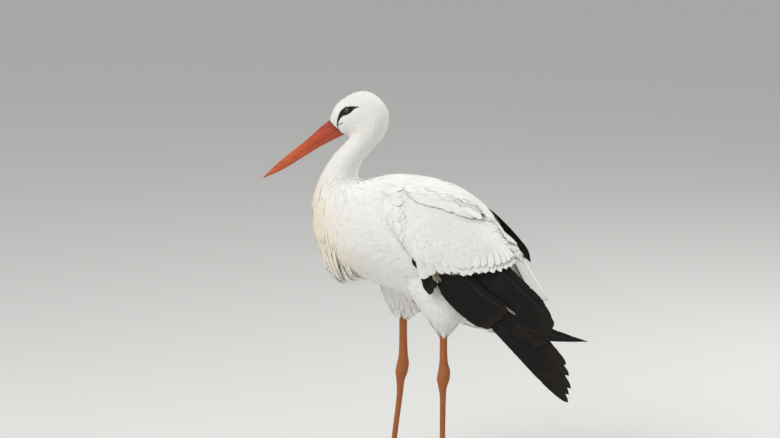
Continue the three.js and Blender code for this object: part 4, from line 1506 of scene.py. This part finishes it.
def flight_piece(name, tubes, finish, slot, worn, *nodes):
    """Blades as one mesh, each on its own strip of the map."""
    points, faces = join_tubes(tubes)
    count, (steps, sides) = len(tubes), tubes[0].shape[:2]
    thin_edges = np.isin(np.arange(sides), [len(ACROSS) - 1, sides - 1])
    walls = np.tile(~thin_edges, count * (steps - 1))
    mesh = new_mesh(name, points, faces, np.append(walls, np.zeros(len(faces[1]), bool)))
    across, along = np.broadcast_arrays(RING_ACROSS / 2 + 0.5, BLADE_STEPS[:, None])
    local = np.column_stack([np.append(across, [0.5, 0.5]), np.append(along, [0.0, 1.0])])
    strip = np.arange(count)[:, None, None] * [1.0, 0]
    atlas = (local[None] * [0.9, 1] + strip) / [count, 1]
    set_map(mesh, "OFBake", atlas.reshape(-1, 2))
    set_map(mesh, "Feather", np.tile(local, (count, 1)))
    mark(mesh, points)
    set_attribute(mesh, "tone", np.repeat(random.uniform(0, 1, count), len(local)))
    faded_tip = smooth(0.82, 1.0, np.tile(local[:, 1], count)) * 0.4
    set_attribute(mesh, "worn", np.repeat(worn, len(local)) + faded_tip)
    hand_over(new_piece(name, mesh, finish), slot, *nodes)


print("points of one blade:", len(BLADE_STEPS) * len(RING_ACROSS) + 2)

# %% [markdown]
# A wing's black feathers come in groups: primaries on the hand, secondaries on the arm, the
# coverts over the hand, and the small alula at the thumb. Within a group, roots lie on a line
# and tips on a curve, so one row of numbers describes it. Two feathers of the left wing are out
# of place: one points straight back, and one forms a small wedge in front of the wrist.

# %% Feather groups of both wings
WINGS = {  # roots' line x, z; tips' curve x, z; count, width, bow, depth in the stack
    LEFT: {
        "primaries": (
            [(100, 448), (116, 452)],
            [(340, 198), (345, 227), (336, 266), (309, 303)], 7, 25, -6, 13.3),
        "secondaries": (
            [(120, 446), (206, 452)],
            [(212, 344), (290, 300), (312, 318), (314, 340), (303, 362)], 12, 31, 0, 10.2),
        "hand_coverts": ([(107, 424), (150, 438)], [(208, 331), (240, 364)], 6, 24, 10, 6.4),
        "alula": ([(88, 452), (94, 447)], [(98, 388), (106, 398)], 2, 20, 3, 3.4),
    },
    RIGHT: {
        "primaries": (
            [(66, 444), (82, 448)],
            [(290, 206), (291, 230), (280, 254), (262, 276)], 7, 27, -4, 13.3),
        "secondaries": (
            [(98, 452), (174, 456)],
            [(184, 336), (240, 302), (264, 326), (262, 350), (248, 372)], 12, 29, -1, 10.2),
        "hand_coverts": ([(78, 426), (116, 442)], [(166, 328), (200, 350)], 6, 22, 6, 6.4),
        "alula": ([(64, 452), (70, 448)], [(78, 394), (86, 402)], 2, 18, 3, 3.4),
    },
}
TILT = {"primaries": 1.1, "secondaries": 1.2, "hand_coverts": 1.1, "alula": 0.6}  # mm at an edge
SPREAD = 2.0  # mm of depth from the first to the last feather of a group
# Root, tip, width, bow, depth, tilt, and whether it is sharp.
STRAYED = (248, 336), (377, 311), 30, 2, 9.6, 0.5, True
WEDGE = (80, 480), (75, 436), 16, 2, -4.8, 0.5, False


def group_blades(side, kind):
    """Blades of one group, evenly spaced between the first and the last."""
    roots, tips, count, width, bow, depth = WINGS[side][kind]
    share = np.linspace(0, 1, count)
    starts = spline(roots, share * (len(roots) - 1))
    ends = spline(tips, share * (len(tips) - 1)) + random.normal(0, 1.2, (count, 2))
    levels = depth + SPREAD * (0.5 - share)
    return [
        blade(side, start, end, width, bow, level, TILT[kind])
        for start, end, level in zip(starts, ends, levels)
    ]


for side in (LEFT, RIGHT):
    name = NAMES[side]
    tubes = [tube for kind in WINGS[side] for tube in group_blades(side, kind)]
    if side == LEFT:
        tubes += [blade(side, *shape) for shape in (STRAYED, WEDGE)]
    nodes = [f"wing_{name}_{kind}" for kind in WINGS[side]]
    worn = random.uniform(0.0, 0.14, len(tubes))
    flight_piece(f"flight_{name}", tubes, black_feathers, "black_feathers", worn, *nodes)

# %% [markdown]
# At the left wrist a few small buff feathers stick out over the black. Further back, two tiny pale
# feathers on the black are a painted highlight, the gleam on a feather's edge. They are short arcs,
# coloured by the mark of soil and painted light at their place.

# %% Wrist feathers and the painted highlight
WRIST_COUNT = 16
HIGHLIGHT_FEATHERS = np.array([(236, 370, 252, 359), (238, 366, 253, 357)], float)  # root x, z, tip x, z


def on_black(flat):
    """Places on the left wing's black sheet for x and z."""
    x, z = flat.T
    return np.column_stack([x, LEFT * sheet_out(x, z, 2.0), z])


root_x = random.uniform(101, 112, WRIST_COUNT)
root_z = random.uniform(423, 428, WRIST_COUNT)
root = np.column_stack([root_x, np.full(WRIST_COUNT, -93.5), root_z])
tip = root + np.array([9, -0.8, -12]) + random.normal(0, 2.0, (WRIST_COUNT, 3)) * [1, 0.2, 1]
# The last two feathers are pale marks that paint a highlight: the gleam on a feather's edge.
root = np.concatenate([root, on_black(HIGHLIGHT_FEATHERS[:, :2])])
tip = np.concatenate([tip, on_black(HIGHLIGHT_FEATHERS[:, 2:])])
wide = np.append(random.uniform(3, 6, WRIST_COUNT), [1.4, 1.1])
loose("coat_wrist", root, tip, (wide, 0.8, 0.2), sag=0.03)

# %% [markdown]
# The tertials are the wing's innermost long feathers. The right wing's three show behind the
# back as a black edge. They are blades too, but laid between two known lines over the side of
# the rump, because they don't lie on the sheet of the others.

# %% Tertials of the right wing
TERTIALS = np.array([  # upper line x, y, z, lower line x, y, z
    (140, 38, 545, 138, 60, 505),
    (176, 41, 517, 166, 62, 482),
    (199, 41, 497, 186, 62, 462),
    (222, 42, 474, 208, 60, 446),
    (244, 43, 449, 231, 56, 432),
    (251, 45, 430, 247, 49, 424),
])
TERTIALS_OUT = unit(np.array([0.5, -1.0, 0.5]))


def tertial(first, last, end, lift):
    """A blade between two shares, `first` and `last`, of the way from the upper to the lower line.
    It ends at the share `end` of their length, and lies `lift` mm higher."""
    row = spline(TERTIALS, BLADE_STEPS * (len(TERTIALS) - 1) * end)[:, None]
    high, low = row[..., :3], row[..., 3:]
    share = (first + last) / 2 + (last - first) / 2 * (half_widths(2.0) * RING_ACROSS)
    level = lift + np.where(UPPER_FACE, 0.35, -0.35) - 0.9 * RING_ACROSS
    return high + (low - high) * share[..., None] + TERTIALS_OUT * level[..., None]


tubes = [
    tertial(*shape)
    for shape in ((0.3, 1.0, 0.86, -0.6), (0.0, 0.75, 1.0, 0.4), (-0.1, 0.4, 0.9, 1.2))
]
worn = np.array([0.2, 0.05, 0.1])
slot, replaced = "black_feathers", "wing_right_tertials"
flight_piece("tertials_right", tubes, black_feathers, slot, worn, replaced)

# %% [markdown]
# ## The tail
#
# A stork's tail is short, broad and white: twelve feathers, the middle pair on top and longest,
# each outer one under its neighbour. They are the same blades on a slightly arched fan. Three
# rows of soft coverts hide their quills.

# %% Tail feathers
TAIL_ROOT, TAIL_TIP = np.array([224.0, 0, 471]), np.array([290.0, 0, 368])
TAIL_DOWN = unit(TAIL_TIP - TAIL_ROOT)
TAIL_OUT = np.array([-TAIL_DOWN[2], 0, TAIL_DOWN[0]])
TAIL_LENGTH = np.linalg.norm(TAIL_TIP - TAIL_ROOT)
TO_RIGHT = -TO_LEFT


def on_tail(down, aside, level):
    """Places from the distance down the tail, aside from its middle, and over it."""
    parts = ((TAIL_DOWN, down), (TO_RIGHT, aside), (TAIL_OUT, level))
    return TAIL_ROOT + sum(way * np.asarray(reach)[..., None] for way, reach in parts)


def tail_feather(place):
    """One blade. `place` runs from -1, the left outer feather, to 1."""
    t = BLADE_STEPS[:, None]
    length = TAIL_LENGTH * (1 - 0.13 * place**2)
    outer_edge = half_widths(17.0) * RING_ACROSS * (1 if place > 0 else -1)
    aside = place * (13 + 14 * t**0.8) + outer_edge
    level = 1.6 - 3.0 * abs(place) + np.where(UPPER_FACE, 0.3, -0.25) - 0.5 * RING_ACROSS
    return on_tail(t * length + 0 * aside, aside, level - 0.10 * aside**2 / 17)


tubes = [tail_feather(place) for place in np.linspace(-1, 1, 12)]
flight_piece("tail_feathers", tubes, white_plumage, "white_plumage", np.zeros(12), "tail")

# %% Tail coverts
COVERT_ROWS, ROW_COUNT = 3, 11
row, place = np.meshgrid(np.arange(COVERT_ROWS), np.linspace(-1, 1, ROW_COUNT), indexing="ij")
row, place = row.ravel(), place.ravel()
aside = place * (24 - 2 * row) + random.normal(0, 1, len(row))
reach = 36 - 15 * row - 8 * place**2 + random.normal(0, 5, len(row))
tips = on_tail(reach, aside, 2.6 - 5.0 * place**2 + 0.6 * row)
roots = closest_on_skin(on_tail(reach - 48, aside * 0.9, 0 * row))
loose("coat_tail_coverts", roots, tips, (16, 1.6, 0.6), BROAD, sag=0.05, sink=3)

# %% [markdown]
# ## The bill
#
# The bill is a long cone of horn in two halves. Its upper half has a ridge, the culmen, and a
# narrow nostril slit in a shallow groove. The halves meet on a line with a small step, the lower
# one a little narrower, so that the bill reads as closed rather than solid. Horn grows from the
# root to the tip, so its streaks run that way: a noise is turned to the bill's slope and
# stretched along it.

# %% Finish of the bill
BILL_RED, BILL_ORANGE = (0.40, 0.048, 0.020), (0.58, 0.105, 0.026)
BILL_DARK = (0.16, 0.020, 0.012)
BILL_TURN, BILL_STRETCH = (0, np.radians(-39), 0), (0.25, 2.0, 2.0)
bill_finish, tree, shader = material("bill", BILL_RED, 0.42, Specular_IOR_Level=0.4)
place = node(tree, "ShaderNodeTexCoord")
stretch = node(tree, "ShaderNodeMapping", Scale=BILL_STRETCH, Rotation=BILL_TURN)
streaks = node(tree, "ShaderNodeTexNoise", Scale=60.0, Detail=4.0, Roughness=0.6)
feed(tree, stretch.inputs["Vector"], place.outputs["Object"])
feed(tree, streaks.inputs["Vector"], stretch.outputs["Vector"])
grown = blend(tree, attribute(tree, "tip"), BILL_RED, BILL_ORANGE)
stained = excess(tree, streaks.outputs["Fac"], 0.4, 1.6)
# The streaks are stains in the horn; the halves' own mark adds painted shade at the root and in the
# nostril.
stained = maths(tree, "MAXIMUM", stained, attribute(tree, "stain"))
stained = maths(tree, "MULTIPLY", maths(tree, "MAXIMUM", stained, 0.0), 0.8)
feed(tree, shader.inputs["Base Color"], blend(tree, stained, grown, BILL_DARK))
relief(tree, shader, streaks.outputs["Fac"], 0.25, 0.5)
print("bill finish:", len(tree.nodes), "nodes")

# %% Both halves of the bill
BILL = np.array([  # top x, z, under x, z, half breadth
    (-113, 678, -83, 654, 12.5),
    (-127, 667, -101, 645, 11.3),
    (-157, 640, -134, 627, 8.6),
    (-187, 616, -170, 604, 6.2),
    (-214, 593, -204, 583, 3.9),
    (-237, 571, -238, 567.5, 1),
])
GAPE_ROOT, GAPE_TIP = np.array([-94.0, 663]), np.array([-240.0, 569])  # x, z
GAPE_GAP = 0.35  # mm
INTO_HEAD = 0.28  # steps that the bill runs on into the head
ARC_POINTS, FLAT_POINTS = 33, 11


def over_gape(p):
    """Height of profile points over the gape's line."""
    line = unit(GAPE_TIP - GAPE_ROOT)
    return line[1] * (p[..., 0] - GAPE_ROOT[0]) - line[0] * (p[..., 1] - GAPE_ROOT[1])


def bill_half(upper):
    """Ring points of one half, and its share of tip colour and of dark: painted shade at the root,
    where the bill enters the feathers, and in the nostril slit. Each ring is an arc of the section
    that ends on the gape's line, and a flat row back along that line."""
    along = np.linspace(-INTO_HEAD, len(BILL) - 1, 130)[:, None]
    row = spline(BILL, along) + np.minimum(along, 0)[..., None] * (BILL[1] - BILL[0])
    top, under, half = row[..., 0:2], row[..., 2:4], row[..., 4]
    middle, rise = (top + under) / 2, (top - under) / 2
    shift = GAPE_GAP / 2 if upper else -GAPE_GAP / 2
    cut = (shift - over_gape(middle)) / (over_gape(top) - over_gape(middle))
    edge = np.arccos(np.clip(cut, -0.95, 0.95))
    arc = np.linspace(-1, 1, ARC_POINTS)[None]
    turn = arc * edge if upper else np.pi + arc * (np.pi - edge)
    arc_cos, arc_sin = np.cos(turn), np.sin(turn)
    ridge = 1 - 0.16 * (1 - np.abs(arc_cos)) * np.abs(arc_cos) * (1 if upper else 0.4)
    sideways = arc_sin * half * ridge * (1 if upper else 0.965)
    nostril = bump_at(along, 0.52, 0.20) * bump_at(arc_cos, 0.46, 0.07)
    if upper:
        groove = bump_at(along, 0.72, 0.55) * bump_at(arc_cos, 0.42, 0.16)
        sideways = sideways - np.sign(arc_sin) * (0.5 * groove + 1.5 * nostril)
    back = np.linspace(1, -1, FLAT_POINTS)[None, 1:-1]
    cosines = np.concatenate([arc_cos, arc_cos[:, -1:] + 0 * back], 1)
    sideways = np.concatenate([sideways, sideways[:, -1:] * back], 1)
    points = middle + rise * cosines[..., None]
    rings = np.stack([points[..., 0], -sideways, points[..., 1]], -1)
    tip = smooth(0.4, 3.6, along) + 0 * cosines + (0 if upper else 0.25)
    # Painted shade: the bill darkens where it enters the feathers, and in its nostril slit.
    stain = 0.8 * smooth(0.45, 0.0, along) + 0 * cosines
    if upper:
        stain[:, :ARC_POINTS] = np.maximum(stain[:, :ARC_POINTS], 0.95 * nostril)
    return rings, tip, stain


for upper, name in ((True, "bill_upper"), (False, "bill_lower")):
    rings, tip, stain = bill_half(upper)
    tube_piece(f"{name}_fine", [rings], bill_finish, "bill", name, tip=[tip], stain=[stain])

# %% [markdown]
# ## Eyes and lids
#
# The eyeball is a sphere with a dark brown iris round a large pupil, under a glossy surface. It
# lies deep, and what one sees is its gleam between the lids. Those are a ring of bare black skin
# whose inner edge is a flat almond, and whose outer edge dives under the skin of the face, so
# that no seam shows. Both are made round the same axis, the gaze.

# %% Finishes of eyes and lids
IRIS, PUPIL = (0.022, 0.012, 0.007), (0.003, 0.003, 0.004)
eye_finish, tree, shader = material("eye", PUPIL, 0.08, Coat_Weight=1.0, Coat_Roughness=0.03)
feed(tree, shader.inputs["Base Color"], blend(tree, attribute(tree, "iris"), PUPIL, IRIS))
lid_finish, tree, shader = material("lids", MASK_BLACK, 0.5, Specular_IOR_Level=0.4)
relief(tree, shader, mottle(tree, 1400.0), 0.5, 0.4)
print("finishes:", eye_finish.name, lid_finish.name)

# %% Eyeballs
GAZE_TILT, FORWARD_FALL = (-0.22, 0.04), -0.42  # the gaze's x and z for 1 sideways; z for -1 ahead


def eye_axes(side):
    """The eye's centre and its axes: out along the gaze, forward and up."""
    centre = np.array([EYE["x"], side * EYE["out"], EYE["z"]])
    out = unit(np.array([GAZE_TILT[0], side, GAZE_TILT[1]]))
    ahead = np.array([-1.0, 0, FORWARD_FALL])
    forward = unit(ahead - out * np.dot(ahead, out))
    return centre, out, forward, np.cross(forward, out) * -side


def round_eye(side, radius, angle, turn):
    """Places by distance from the eye's centre, angle from the gaze and turn round it."""
    centre, out, forward, up = eye_axes(side)
    return (
        centre
        + out * (radius * np.cos(angle) + 0 * turn)[..., None]
        + forward * (radius * np.sin(angle) * np.cos(turn))[..., None]
        + up * (radius * np.sin(angle) * np.sin(turn))[..., None]
    )


tilt, turn = grid_values(np.linspace(0.04, np.pi - 0.04, 40), 56)
radius = EYE["radius"] * (1 + 0.035 * bump_at(tilt, 0, 0.5))  # the cornea stands out a little
iris = smooth(0.42, 0.46, tilt) * (1 - smooth(0.80, 0.86, tilt)) + 0 * turn
for side, name in NAMES.items():
    ball = round_eye(side, radius, tilt, turn)
    tube_piece(f"eyeball_{name}", [ball], eye_finish, "eye", f"eye_{name}", iris=[iris])

# %% Lids
OPENING, LID_END = np.radians(52), np.radians(96)  # angles from the gaze
LID_SHELL = 0.07  # thickness of the lids, as a share of the distance to the eye's centre

step, turn = grid_values(np.linspace(0, 1, 14), 72)
almond = 1 - 0.20 * np.abs(np.sin(turn)) ** 1.3 + 0.10 * np.abs(np.cos(turn)) ** 8
angle = OPENING * almond + (LID_END - OPENING * almond) * np.maximum(step - 0.12, 0) / 0.88
lift = 0.08 + 0.62 * smooth(0.0, 0.16, step) + 0.25 * bump_at(step, 0.18, 0.07)  # a full rim
lift = lift - 0.18 * bump_at(step, 0.42, 0.10) + 0.3 * smooth(0.4, 1, step)  # a fold behind it
for side, name in NAMES.items():
    rings = round_eye(side, EYE["radius"] + lift, angle, turn)
    inner = rings[::-1] + (eye_axes(side)[0] - rings[::-1]) * LID_SHELL
    shell = np.concatenate([rings, inner])
    points = shell.reshape(-1, 3)
    walls = wall_faces(*shell.shape[:2], closed=True)
    faces = facing_out(points, [walls, np.zeros((0, 3), int)])[:1]
    lids = new_mesh(f"lids_{name}", points, faces)
    hand_over(new_piece(f"lids_{name}", lids, lid_finish), "leg_skin")

# %% [markdown]
# ## Legs and feet
#
# The bare leg is covered with small horny plates, set like a honeycomb. A bump texture would
# vanish at the leg's edge and in the exported mesh, so they are modelled: each point of the leg
# sinks a little where it is far from the centre of its plate, and dust stays in those seams. The
# ankle joint is the thick place half way up.

# %% Finish of legs and claws
LEG_RED, LEG_PALE = (0.35, 0.095, 0.022), (0.37, 0.155, 0.055)
leg_finish, tree, shader = material("leg_skin", LEG_RED, 0.6, Specular_IOR_Level=0.35)
dusty = excess(tree, mottle(tree, 70.0), 0.35, 1.6)
dusty = maths(tree, "MAXIMUM", dusty, maths(tree, "MULTIPLY", attribute(tree, "seam"), 0.8))
dusty = maths(tree, "MINIMUM", dusty, 1.0)
feed(tree, shader.inputs["Base Color"], blend(tree, dusty, LEG_RED, LEG_PALE))
relief(tree, shader, mottle(tree, 1500.0), 0.3, 0.25)
claw_finish, _, _ = material("claw", (0.045, 0.026, 0.018), 0.45)
print("finishes:", leg_finish.name, claw_finish.name)

# %% Legs
LEG_OUT = 38.0  # mm from the middle
LEGS = {  # z, front x, back x, half breadth
    LEFT: np.array([
        (340, 103, 116, 6.0), (312, 102.5, 116.5, 6), (280, 102.5, 116, 5.6),
        (254, 102, 117.5, 6.4),
        (238, 100, 121.5, 9), (222, 97.5, 120.5, 9.5), (206, 100.5, 115.5, 7), (184, 103, 114, 5),
        (120, 103, 113, 4.8), (50, 102.5, 113.5, 5), (22, 99, 116, 7.5), (7, 99, 116, 7.5),
    ]),
    RIGHT: np.array([
        (340, 8, 22, 6.0), (312, 7.5, 22, 6), (280, 7.5, 22, 5.6), (247, 6.5, 23.5, 6.4),
        (231, 3.5, 25.5, 9), (214, 0.5, 23, 9.5), (198, 2, 17.5, 7), (170, 2.5, 13.8, 5),
        (110, -4.5, 5.8, 4.8), (50, -12, -1.2, 5), (22, -18.5, -1.5, 7.5), (7, -19.5, -2.5, 7.5),
    ]),
}
PLATE, SEAM_DEPTH = 2.5, 0.34  # mm from one plate to the next, and into a seam
PLATES_ROUND = np.round(2 * np.pi * 6.0 / PLATE)
RING_STEP = 0.95  # mm


def honeycomb(u, v, size):
    """0 at the centres of hexagonal plates and 1 at their seams. Centres lie on two rectangular
    lattices, and the nearer one counts."""
    tall = size * np.sqrt(3)

    def to_lattice(du, dv):
        """Distance to the nearest point of a lattice that is moved by du and dv."""
        across, up = (u + du + size / 2) % size, (v + dv + tall / 2) % tall
        return np.hypot(across - size / 2, up - tall / 2)

    return np.minimum(to_lattice(0, 0), to_lattice(size / 2, tall / 2)) / (size / np.sqrt(3))


def leg(side):
    """Ring points of one leg, and the seams between its plates."""
    rows = LEGS[side]
    heights = np.append(0, np.cumsum(np.abs(np.diff(rows[:, 0]))))
    along = np.interp(np.arange(0, heights[-1], RING_STEP), heights, np.arange(len(rows)))
    along, turn = full_grid(along, 44)
    z, front, back, half = np.moveaxis(spline(rows, along), -1, 0)
    seam = smooth(0.62, 1.0, honeycomb(turn / (2 * np.pi) * PLATES_ROUND * PLATE, z, PLATE))
    x = (front + back) / 2 - ((back - front) / 2 - SEAM_DEPTH * seam) * np.cos(turn)
    y = side * LEG_OUT + (half - SEAM_DEPTH * seam) * np.sin(turn) * side
    return np.stack([x, y, z], -1), seam


for side, name in NAMES.items():
    rings, seam = leg(side)
    nodes = f"shank_{name}", f"tarsus_{name}"
    tube_piece(f"leg_{name}", [rings], leg_finish, "leg_skin", *nodes, seam=[seam])

# %% [markdown]
# A stork walks on three front toes and a short hind toe, each a row of knuckle pads over a flat
# sole, with broad plates across the top and a blunt claw. A small web joins the front toes at
# the root. Each of these is a tube whose height and width follow from a few waves and tapers.

# %% Toes, webs and claws
TOES = [  # heading in degrees from straight ahead, length, thickness
    (-33, 58, 10.0), (0, 75, 11.0), (32, 64, 10.0), (168, 27, 8.5),
]
TOE_TAPER = [0, 0.2, 0.4, 0.7, 0.93, 1], [1.3, 1, 0.92, 0.84, 0.68, 0.35]
CLAW = {"length": 11.0, "width": 6.0, "height": 4.6}
WEB_HEIGHT = (2.4, 5.4)
UP = np.array([0, 0, 1.0])


def bearing(side, heading):
    """Unit vector on the floor, as an angle from straight ahead towards the outside."""
    angle = np.radians(heading)
    return np.array([-np.cos(angle), side * np.sin(angle), 0])


def from_foot(foot, way, reach, aside, z):
    """Places by distance along a toe's direction, aside from it and over the floor."""
    across = np.array([-way[1], way[0], 0])
    return foot + way * reach[..., None] + across * aside[..., None] + UP * z[..., None]


def toe(foot, way, length, thick):
    """Ring points of a toe and the seams of its plates: a rounded top over a flat sole, swelling at
    each knuckle pad."""
    along, turn = full_grid(np.linspace(0.0, 1.0, 76), 28)
    knuckles = 1 + 0.07 * np.cos(2 * np.pi * (along * 3.2 + 0.1))
    plates = np.abs(np.sin(np.pi * along * length / 3.4)) ** 0.5
    high = thick * np.interp(along, *TOE_TAPER) * knuckles
    top = np.maximum(np.cos(turn), 0)
    z = high / 2 * (1 + np.cos(turn)) + 0.35 * (plates - 1) * top**0.5
    z = np.where(np.cos(turn) < -0.88, 0.0, np.maximum(z - high * 0.06, 0.0))
    aside = (high / 2 + 0.3) * np.sin(turn)
    return from_foot(foot, way, along * length, aside, z), (1 - plates) * top


def claw(foot, way, length):
    """Ring points of a claw: a narrow horn that curves down to a point."""
    along, turn = full_grid(np.linspace(0, 1, 14), 16)
    reach = length * 0.93 + along * (CLAW["length"] + length * 0.07)
    shrink = np.sqrt(np.maximum(1 - along, 0.0)) * 0.94 + 0.06
    z = 0.6 + CLAW["height"] * (0.52 - 0.30 * along**2)
    z = np.maximum(z + CLAW["height"] / 2 * shrink * np.cos(turn), 0.1)
    return from_foot(foot, way, reach, CLAW["width"] / 2 * shrink * np.sin(turn), z)


def web(foot, way, other, length):
    """Ring points of the web between two toes: a thin sheet whose front edge is drawn in."""
    share, turn = full_grid(np.linspace(0, 1, 15), 12)
    direction = unit(way * (1 - share)[..., None] + other * share[..., None])
    reach = length * (0.42 - 0.17 * np.sin(np.pi * share)) * (0.5 + 0.5 * np.cos(turn))
    low, high = WEB_HEIGHT
    z = (low + high) / 2 + (high - low) / 2 * np.sin(turn)
    return foot + direction * reach[..., None] + UP * z[..., None]


# %% Both feet
FOOT_X = {LEFT: 107.5, RIGHT: -10.0}
for side, name in NAMES.items():
    foot = np.array([FOOT_X[side], side * LEG_OUT, 0.0])
    ways = [bearing(side, heading) for heading, _, _ in TOES]
    toes = [toe(foot, way, length, thick) for way, (_, length, thick) in zip(ways, TOES)]
    webs = [web(foot, ways[k], ways[k + 1], TOES[k][1]) for k in (0, 1)]
    tubes = [rings for rings, _ in toes] + webs
    seams = [seam for _, seam in toes] + [np.zeros(rings.shape[:2]) for rings in webs]
    tube_piece(f"foot_fine_{name}", tubes, leg_finish, "leg_skin", f"foot_{name}", seam=seams)
    horns = [claw(foot, way, length) for way, (_, length, _) in zip(ways, TOES)]
    nodes = [f"claw_{name}_{k}" for k in (1, 2, 3, 4)]
    tube_piece(f"claws_{name}", horns, claw_finish, "claw", *nodes)

# %% [markdown]
# ## Studio
#
# White feathers need soft light: a hard lamp burns them out and hides every strip. A large
# square lamp from the front is the key, one from behind draws the outline, and an even world
# lights the rest. The camera stands far off with a long lens, so that near and far parts keep
# their sizes.

# %% Floor, light and camera
FLOOR_HALF = 15.0  # metres
FLOOR_GREY = (0.74, 0.74, 0.72)
WORLD_STRENGTH = 0.5
LIT_POINT = (0, 0, 0.45)
floor_mesh = bpy.data.meshes.new("floor")
corners = [(-FLOOR_HALF, -FLOOR_HALF, 0), (FLOOR_HALF, -FLOOR_HALF, 0)]
corners += [(FLOOR_HALF, FLOOR_HALF, 0), (-FLOOR_HALF, FLOOR_HALF, 0)]
floor_mesh.from_pydata(corners, [], [(0, 1, 2, 3)])
floor_finish, _, _ = material("floor", FLOOR_GREY, 0.9)
floor = new_piece("floor", floor_mesh, floor_finish)

world = bpy.data.worlds.new("studio")
bpy.context.scene.world = world
world.use_nodes = True
world.node_tree.nodes["Background"].inputs["Color"].default_value = (1, 1, 1, 1)
world.node_tree.nodes["Background"].inputs["Strength"].default_value = WORLD_STRENGTH


def soft_light(name, place, size, power):
    """A square area lamp that faces the bird's middle. Sizes in metres, power in watts."""
    lamp = bpy.data.lights.new(name, "AREA")
    lamp.size, lamp.energy = size, power
    thing = bpy.data.objects.new(name, lamp)
    bpy.context.scene.collection.objects.link(thing)
    thing.location = place
    aim = Vector(LIT_POINT) - Vector(place)
    thing.rotation_euler = aim.to_track_quat("-Z", "Y").to_euler()


soft_light("key", (-1.2, -1.8, 2.6), 1.6, 56)
soft_light("rim", (1.6, 1.4, 2.2), 1.4, 36)

AIM = np.array([0, 0, 502.75])
AZIMUTH, ELEVATION = np.radians(15), np.radians(10)
DISTANCE, SEEN_WIDTH, SENSOR = 5600.0, 1404.0, 36.0  # mm
camera_data = bpy.data.cameras.new("camera")
camera_data.sensor_width, camera_data.lens = SENSOR, SENSOR * DISTANCE / SEEN_WIDTH
camera = bpy.data.objects.new("camera", camera_data)
bpy.context.scene.collection.objects.link(camera)
flat_out = np.cos(ELEVATION)
to_camera = np.array([np.sin(AZIMUTH) * flat_out, -np.cos(AZIMUTH) * flat_out, np.sin(ELEVATION)])
camera.location = metres(AIM + to_camera * DISTANCE)
camera.rotation_euler = (np.pi / 2 - ELEVATION, 0, AZIMUTH)
bpy.context.scene.camera = camera
bpy.context.scene.view_settings.view_transform = "Standard"
